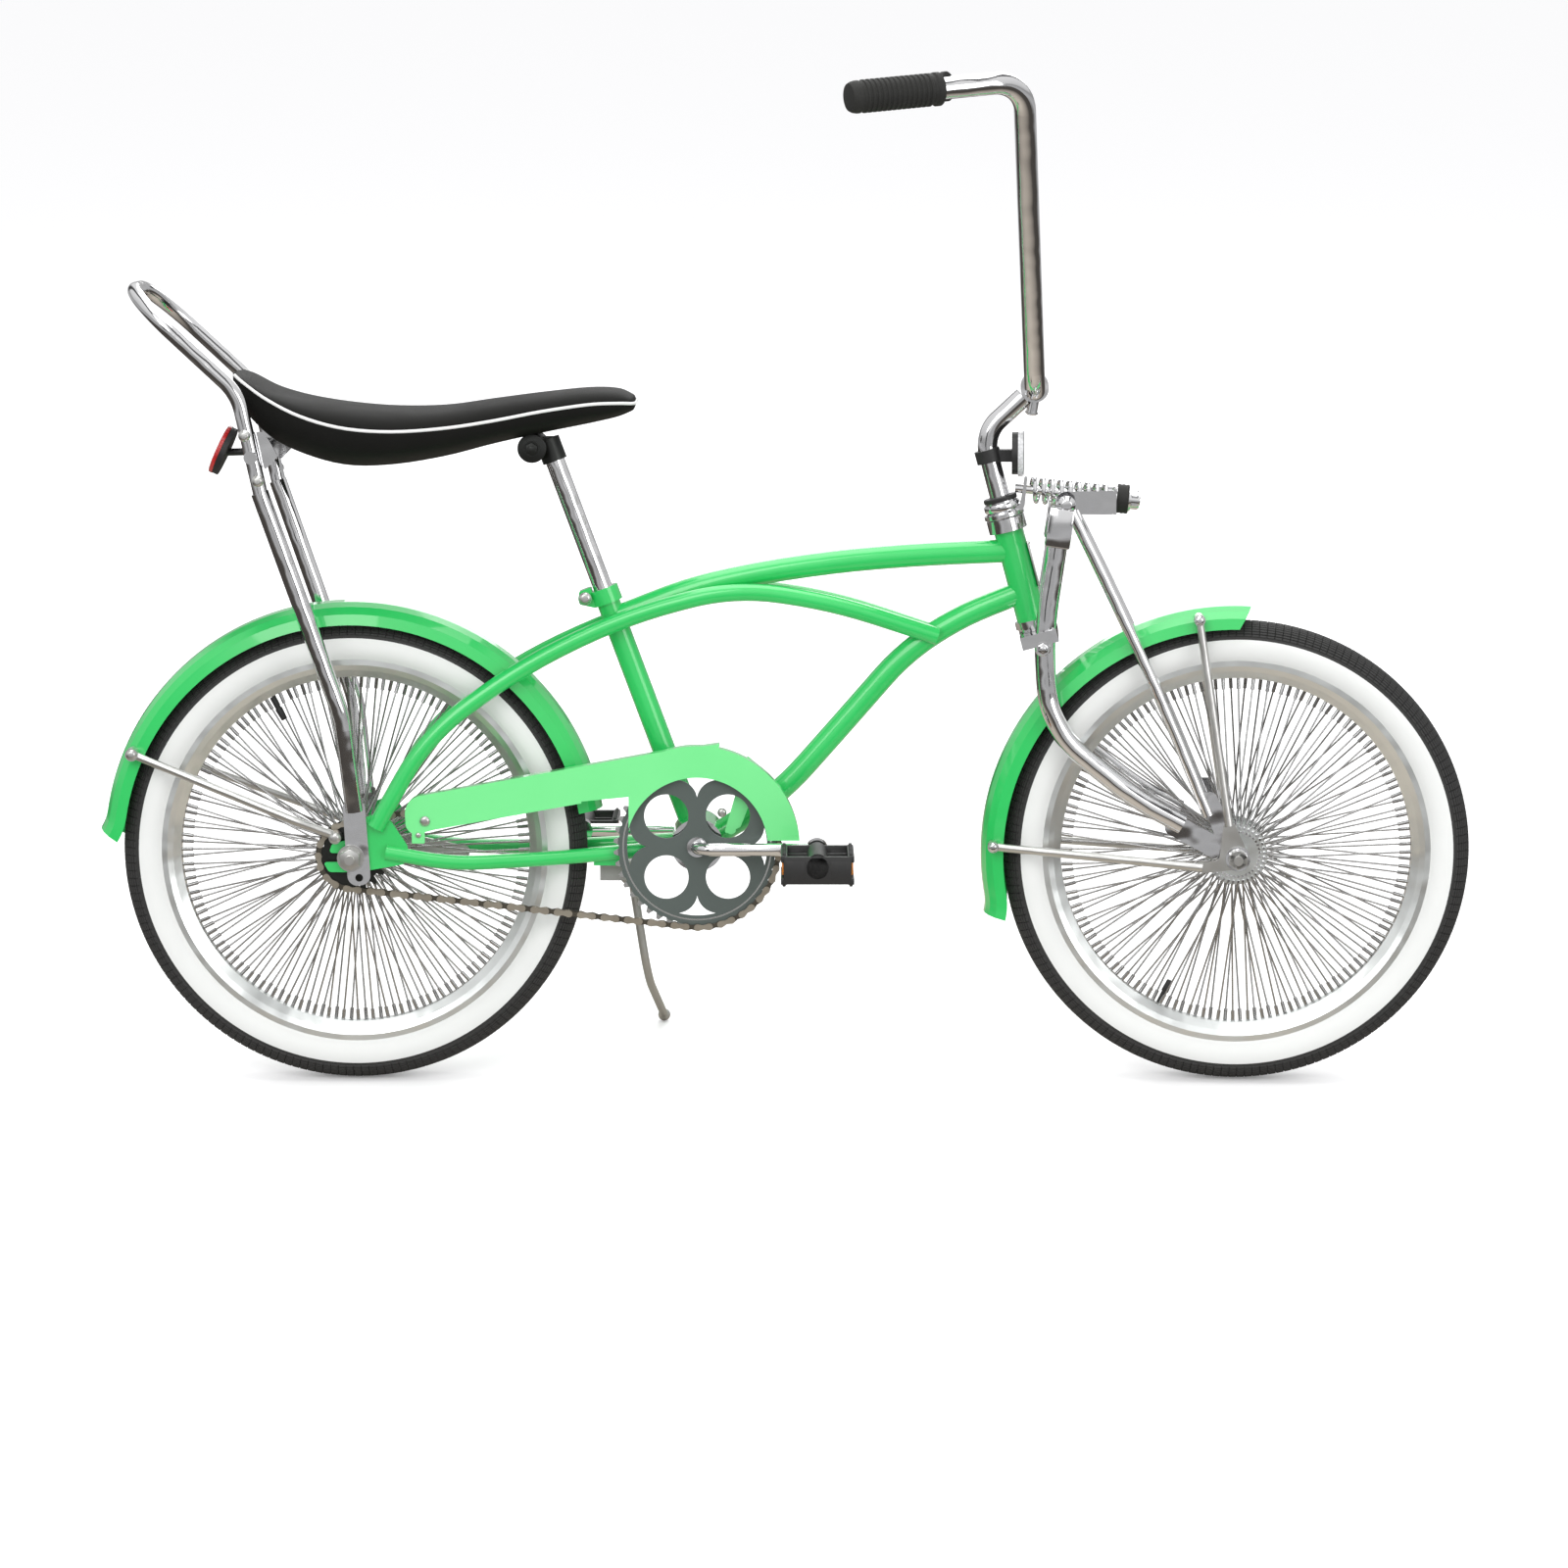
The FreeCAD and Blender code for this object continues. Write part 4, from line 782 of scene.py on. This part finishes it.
# %% Grips
BAR_END = Vector((555, -347, 1071))
BAR_SHOULDER = Vector((725, -262, 1087))
GRIP_LENGTH = 96.0
GRIP_RINGS = 14
GRIP_RING_PITCH = 5.4

for name, side in (("right_grip", 1), ("left_grip", -1)):
    shape = bmesh.new()
    end = Vector((BAR_END.x, side * BAR_END.y, BAR_END.z))
    along = (Vector((BAR_SHOULDER.x, side * BAR_SHOULDER.y, BAR_SHOULDER.z)) - end).normalized()
    profile = [(-5, 0.01), (-5, 11), (-4, 14), (-1, 15.6), (3, 16.4), (6, 16.4), (7, 15.6)]
    for i in range(GRIP_RINGS):
        at = 10 + GRIP_RING_PITCH * i
        profile += [(at, 15.5), (at + 1, 16.7), (at + 3, 16.7), (at + 4, 15.5)]
    profile += [(GRIP_LENGTH - 8, 15.5), (GRIP_LENGTH - 6, 17), (GRIP_LENGTH - 1, 17),
                (GRIP_LENGTH, 16.2), (GRIP_LENGTH, 11.2)]
    turned(shape, profile, end, 36, along, closed=False)
    bmesh.ops.remove_doubles(shape, verts=shape.verts, dist=0.02)
    grip = piece(shape, name, "steering", [grip_rubber], STEERED)
    if name == "right_grip":
        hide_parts("grips")

# %% Pedals
PEDAL_IN, PEDAL_OUT = 84.0, 164.0
CAGE_DROP = 7
CAGE_END = 35.5
RAIL_HEIGHT = 12
TOOTH_FOOT, TOOTH_HEIGHT = 14.8, 3


def pedal(name, centre, side, body, node):
    shape = bmesh.new()
    middle = centre + Vector((0, side * (PEDAL_IN + PEDAL_OUT) / 2, -CAGE_DROP))
    for y in (PEDAL_IN + 2.5, PEDAL_OUT - 2.5):
        block(shape, Vector((centre.x, side * y, middle.z)), (72, 5, 30), 1.2)
        for x in (-24, 24):
            block(shape, Vector((centre.x + x, side * y, middle.z)), (20, 5.8, 20), 1.0)
    outer = Vector((centre.x, side * PEDAL_OUT, centre.z - 4))
    peg(shape, outer - Y * side * 5, outer, 13, 28, bevel=1.0)
    peg(shape, centre + Y * side * PEDAL_IN, centre + Y * side * (PEDAL_OUT - 1), 11, 24)
    for y in (104, 124, 144):
        block(shape, Vector((centre.x, side * y, middle.z + 1)), (66, 3, 16), 0.6)
    for end in (-1, 1):
        x = centre.x + end * CAGE_END
        for lift in (RAIL_HEIGHT, -RAIL_HEIGHT):
            block(shape, Vector((x, middle.y, middle.z + lift)), (7, 78, 7), 1.0)
        block(shape, Vector((x - end * 1.5, middle.y, middle.z)), (3, 76, 20), 0.4)
        for i in range(9):
            y = side * (PEDAL_IN + 6 + 8.5 * i)
            for lift in (-1, 1):
                foot = Vector((x, y, middle.z + lift * TOOTH_FOOT))
                peg(shape, foot, foot + Vector((0, 0, lift * TOOTH_HEIGHT)), 2.8, 6, 1.6)
    piece(shape, name + "_cage", body, [black_plastic], instead_of=[node])
    shape = bmesh.new()
    for end in (-1, 1):
        x = centre.x + end * 36.8
        block(shape, Vector((x, middle.y, middle.z)), (2.6, 56, 13), 0.8)
    piece(shape, name + "_reflectors", body, [amber])


pedal("right_pedal", BRACKET + Vector((130, 0, 0)), -1, "right_pedal", "right_pedal")
pedal("left_pedal", BRACKET - Vector((130, 0, 0)), 1, "left_pedal", "left_pedal")

# %% [markdown]
# ## Reflectors
# Each lens is a shallow turned dish set on its black back. The rear one is red with a clear bar
# across its middle.

# %% Reflector lenses
shape = bmesh.new()
dish = [(-0.4, 24.8), (4.8, 24.8), (6.0, 23.6), (6.4, 19), (6.6, 0.01), (-0.4, 0.01)]
turned(shape, dish, Vector((723, 0, 688)), 48, Vector((1, 0, 0)))
bmesh.ops.remove_doubles(shape, verts=shape.verts, dist=0.02)
piece(shape, "front_lens", "steering", [clear], STEERED)

shape = bmesh.new()
rear_axis = Vector((-0.9, 0, 0.42)).normalized()
rear_face = Vector((-133, 0, 689)) + rear_axis * 8
dish = [(-2, 27.6), (1.6, 27.6), (2.6, 26), (2.8, 20), (3, 0.01), (-2, 0.01)]
turned(shape, dish, rear_face, 48, rear_axis)
bmesh.ops.remove_doubles(shape, verts=shape.verts, dist=0.02)
for face in shape.faces:
    face.material_index = 1 if abs(face.calc_center_median().y) < 3 else 0
piece(shape, "rear_lens", "frame", [red, clear])

# %% [markdown]
# ## Fasteners
# Bolts and nuts tell how a bicycle is put together, so each one stands where the real one does. A
# hexagon nut sits on a washer, and a domed bolt head is a peg with a smaller tip.

# %% Nuts and domed heads
def nut(shape, base, out, radius, height, thread):
    out = Vector(out).normalized()
    base = Vector(base)
    peg(shape, base, base + out * 1.6, radius * 1.22, 28)
    peg(shape, base + out * 1.6, base + out * height, radius, 6, bevel=0.9)
    peg(shape, base + out * height, base + out * (height + 2.5), thread, 16, bevel=0.6)


def dome(shape, base, out, radius, height):
    out = Vector(out).normalized()
    base = Vector(base)
    peg(shape, base, base + out * height * 0.45, radius, 24)
    peg(shape, base + out * height * 0.45, base + out * height, radius, 24, radius * 0.55, 0.6)


# %% Fasteners of the frame
SISSY_BOLTS = [(-103.3, 92, 713), (-96.5, 93, 690), (-89.6, 94, 665), (-16, 70, 277)]
FENDER_BOLTS = [(-238, 43, 364)]
GUARD_SCREWS = [((80.4, -57, 293.5), 5.5, 3), ((402, -38, 300), 5.0, 3), ((73, -57, 278), 3.0, 2)]

shape = bmesh.new()
for x, y, z in both_sides([(0, 64, 254)]):
    nut(shape, (x, y, z), (0, y, 0), 12, 11, 5.0)
for x, y, z in both_sides(SISSY_BOLTS):
    dome(shape, (x, y, z), (0, y, 0), 6.5, 5)
for x, y, z in both_sides(FENDER_BOLTS):
    dome(shape, (x, y, z), (0, y, 0), 6, 4)
for place, head_radius, head_height in GUARD_SCREWS:
    dome(shape, place, -Y, head_radius, head_height)
# The seat collar's pinch bolt.
nut(shape, (253.5, 8, 531), Y, 6.5, 6, 3.5)
dome(shape, (253.5, -12.5, 531), -Y, 7, 4)
piece(shape, "frame_fasteners", "frame", [zinc])

shape = bmesh.new()
for side in (-1, 1):
    peg(shape, (198, side * 27, 695), (198, side * 31, 695), 15.6, 30, bevel=1.0)
    nut(shape, (198, side * 31, 695), (0, side, 0), 7, 7, 3.5)
piece(shape, "saddle_clamp_nuts", "frame", [dark_steel])

# %% Fasteners of the steering
shape = bmesh.new()
# Axle nuts, the crown's clamp bolts, the spring yoke's pivots and the blocks at the legs' tops.
for x, y, z in both_sides([(964, 55.5, 254)]):
    nut(shape, (x, y, z), (0, y, 0), 11, 10, 5.0)
for x, y, z in both_sides([(751, 57, 483)]):
    dome(shape, (x, y, z), (0, y, 0), 9, 6)
    nut(shape, (x, y + math.copysign(5, y), z), (0, y, 0), 6, 5, 3)
for x, y, z in both_sides([(775, 49, 637)]):
    dome(shape, (x, y, z), (0, y, 0), 10, 9)
for x, y, z in both_sides([(768, 47, 612)]):
    block(shape, Vector((x, y, z)), (27, 26, 42), 2.0, tilt=8)
# The stays' bolts on the fender, the handlebar's clamp bolt and the spring's end nut.
for x, y, z in both_sides([(919.5, 43, 512), (699, 43, 262)]):
    dome(shape, (x, y, z), (0, y, 0), 5.5, 4)
dome(shape, (737, 0, 733), (-0.16, 0, -1), 7, 4)
nut(shape, (843.3, 0, 638.3), axis, 10.5, 9.5, 5.5)
piece(shape, "steering_fasteners", "steering", [chrome], STEERED)

# %% [markdown]
# ## Headset, badge, valves and hubs
# The headset's locknut and washers are turned on the steering axis. The badge place on the head
# tube stays a bare plate. Spoke heads sit on the flanges in two rings.

# %% Headset rings
shape = bmesh.new()
stack = [(14.5, 11.2), (14.5, 20), (16, 22), (20, 22), (22, 18), (23, 17), (23, 19), (25, 20),
         (29, 20), (31, 19), (31, 17.6), (32, 17.6), (32, 11.2)]
turned(shape, stack, HEAD_TOP, 48, HEAD_UP)
piece(shape, "headset_rings", "steering", [chrome], STEERED)
shape = bmesh.new()
turned(shape, [(33, 11.2), (33, 18), (34, 18.4), (37, 18.4), (38, 17.5), (38, 11.2)], HEAD_TOP,
       48, HEAD_UP)
piece(shape, "headset_seal", "steering", [black_plastic], STEERED)

# %% Badge plate
BADGE = HEAD_TOP - HEAD_UP * 42 + Vector((16.2, 0, 4))

shape = bmesh.new()
block(shape, BADGE, (2.4, 19, 50), 0.9, tilt=-15)
for lift in (-24, 24):
    middle = BADGE + HEAD_UP * lift
    peg(shape, middle - Vector((2, 0, 0)), middle + Vector((2.4, 0, 0)), 2.2, 12, 1.4)
piece(shape, "badge_plate", "frame", [zinc])

# %% Valves and spoke heads
SPOKES = 144
HEAD_CIRCLE, SECOND_CIRCLE = 30, 25
SECOND_HEADS = 36


def around_axle(centre, radius, degrees, y=0.0):
    angle = math.radians(degrees)
    return centre + Vector((radius * math.cos(angle), y, radius * math.sin(angle)))


def wheel_trim(name, centre, stance, flange_y, valve_at):
    shape = bmesh.new()
    peg(shape, around_axle(centre, 190, valve_at), around_axle(centre, 170, valve_at), 3.2, 14)
    peg(shape, around_axle(centre, 176, valve_at), around_axle(centre, 162, valve_at), 4.2, 14,
        3.4, 0.8)
    piece(shape, name + "_valve", name, [black_plastic], stance)
    shape = bmesh.new()
    for i in range(SPOKES):
        side = 1 if i % 2 else -1
        outside = 1 if (i // 2) % 2 else -1
        turn = 360 / SPOKES * i + 9 * outside
        head = around_axle(centre, HEAD_CIRCLE, turn, side * (flange_y + outside * 1.5))
        peg(shape, head, head + Y * side * outside * 2.6, 1.9, 8, 1.3)
    for side in (-1, 1):
        for i in range(SECOND_HEADS):
            turn = 360 / SECOND_HEADS * i + 5
            head = around_axle(centre, SECOND_CIRCLE, turn, side * (flange_y + 1.5))
            peg(shape, head, head + Y * side * 0.9, 1.9, 8, 1.3)
    piece(shape, name + "_spoke_heads", name, [chrome], stance)


wheel_trim("front_wheel", FRONT_AXLE, STEERED, 26.0, 244.7)
wheel_trim("rear_wheel", REAR_AXLE, PARKED, 24.0, 118.0)
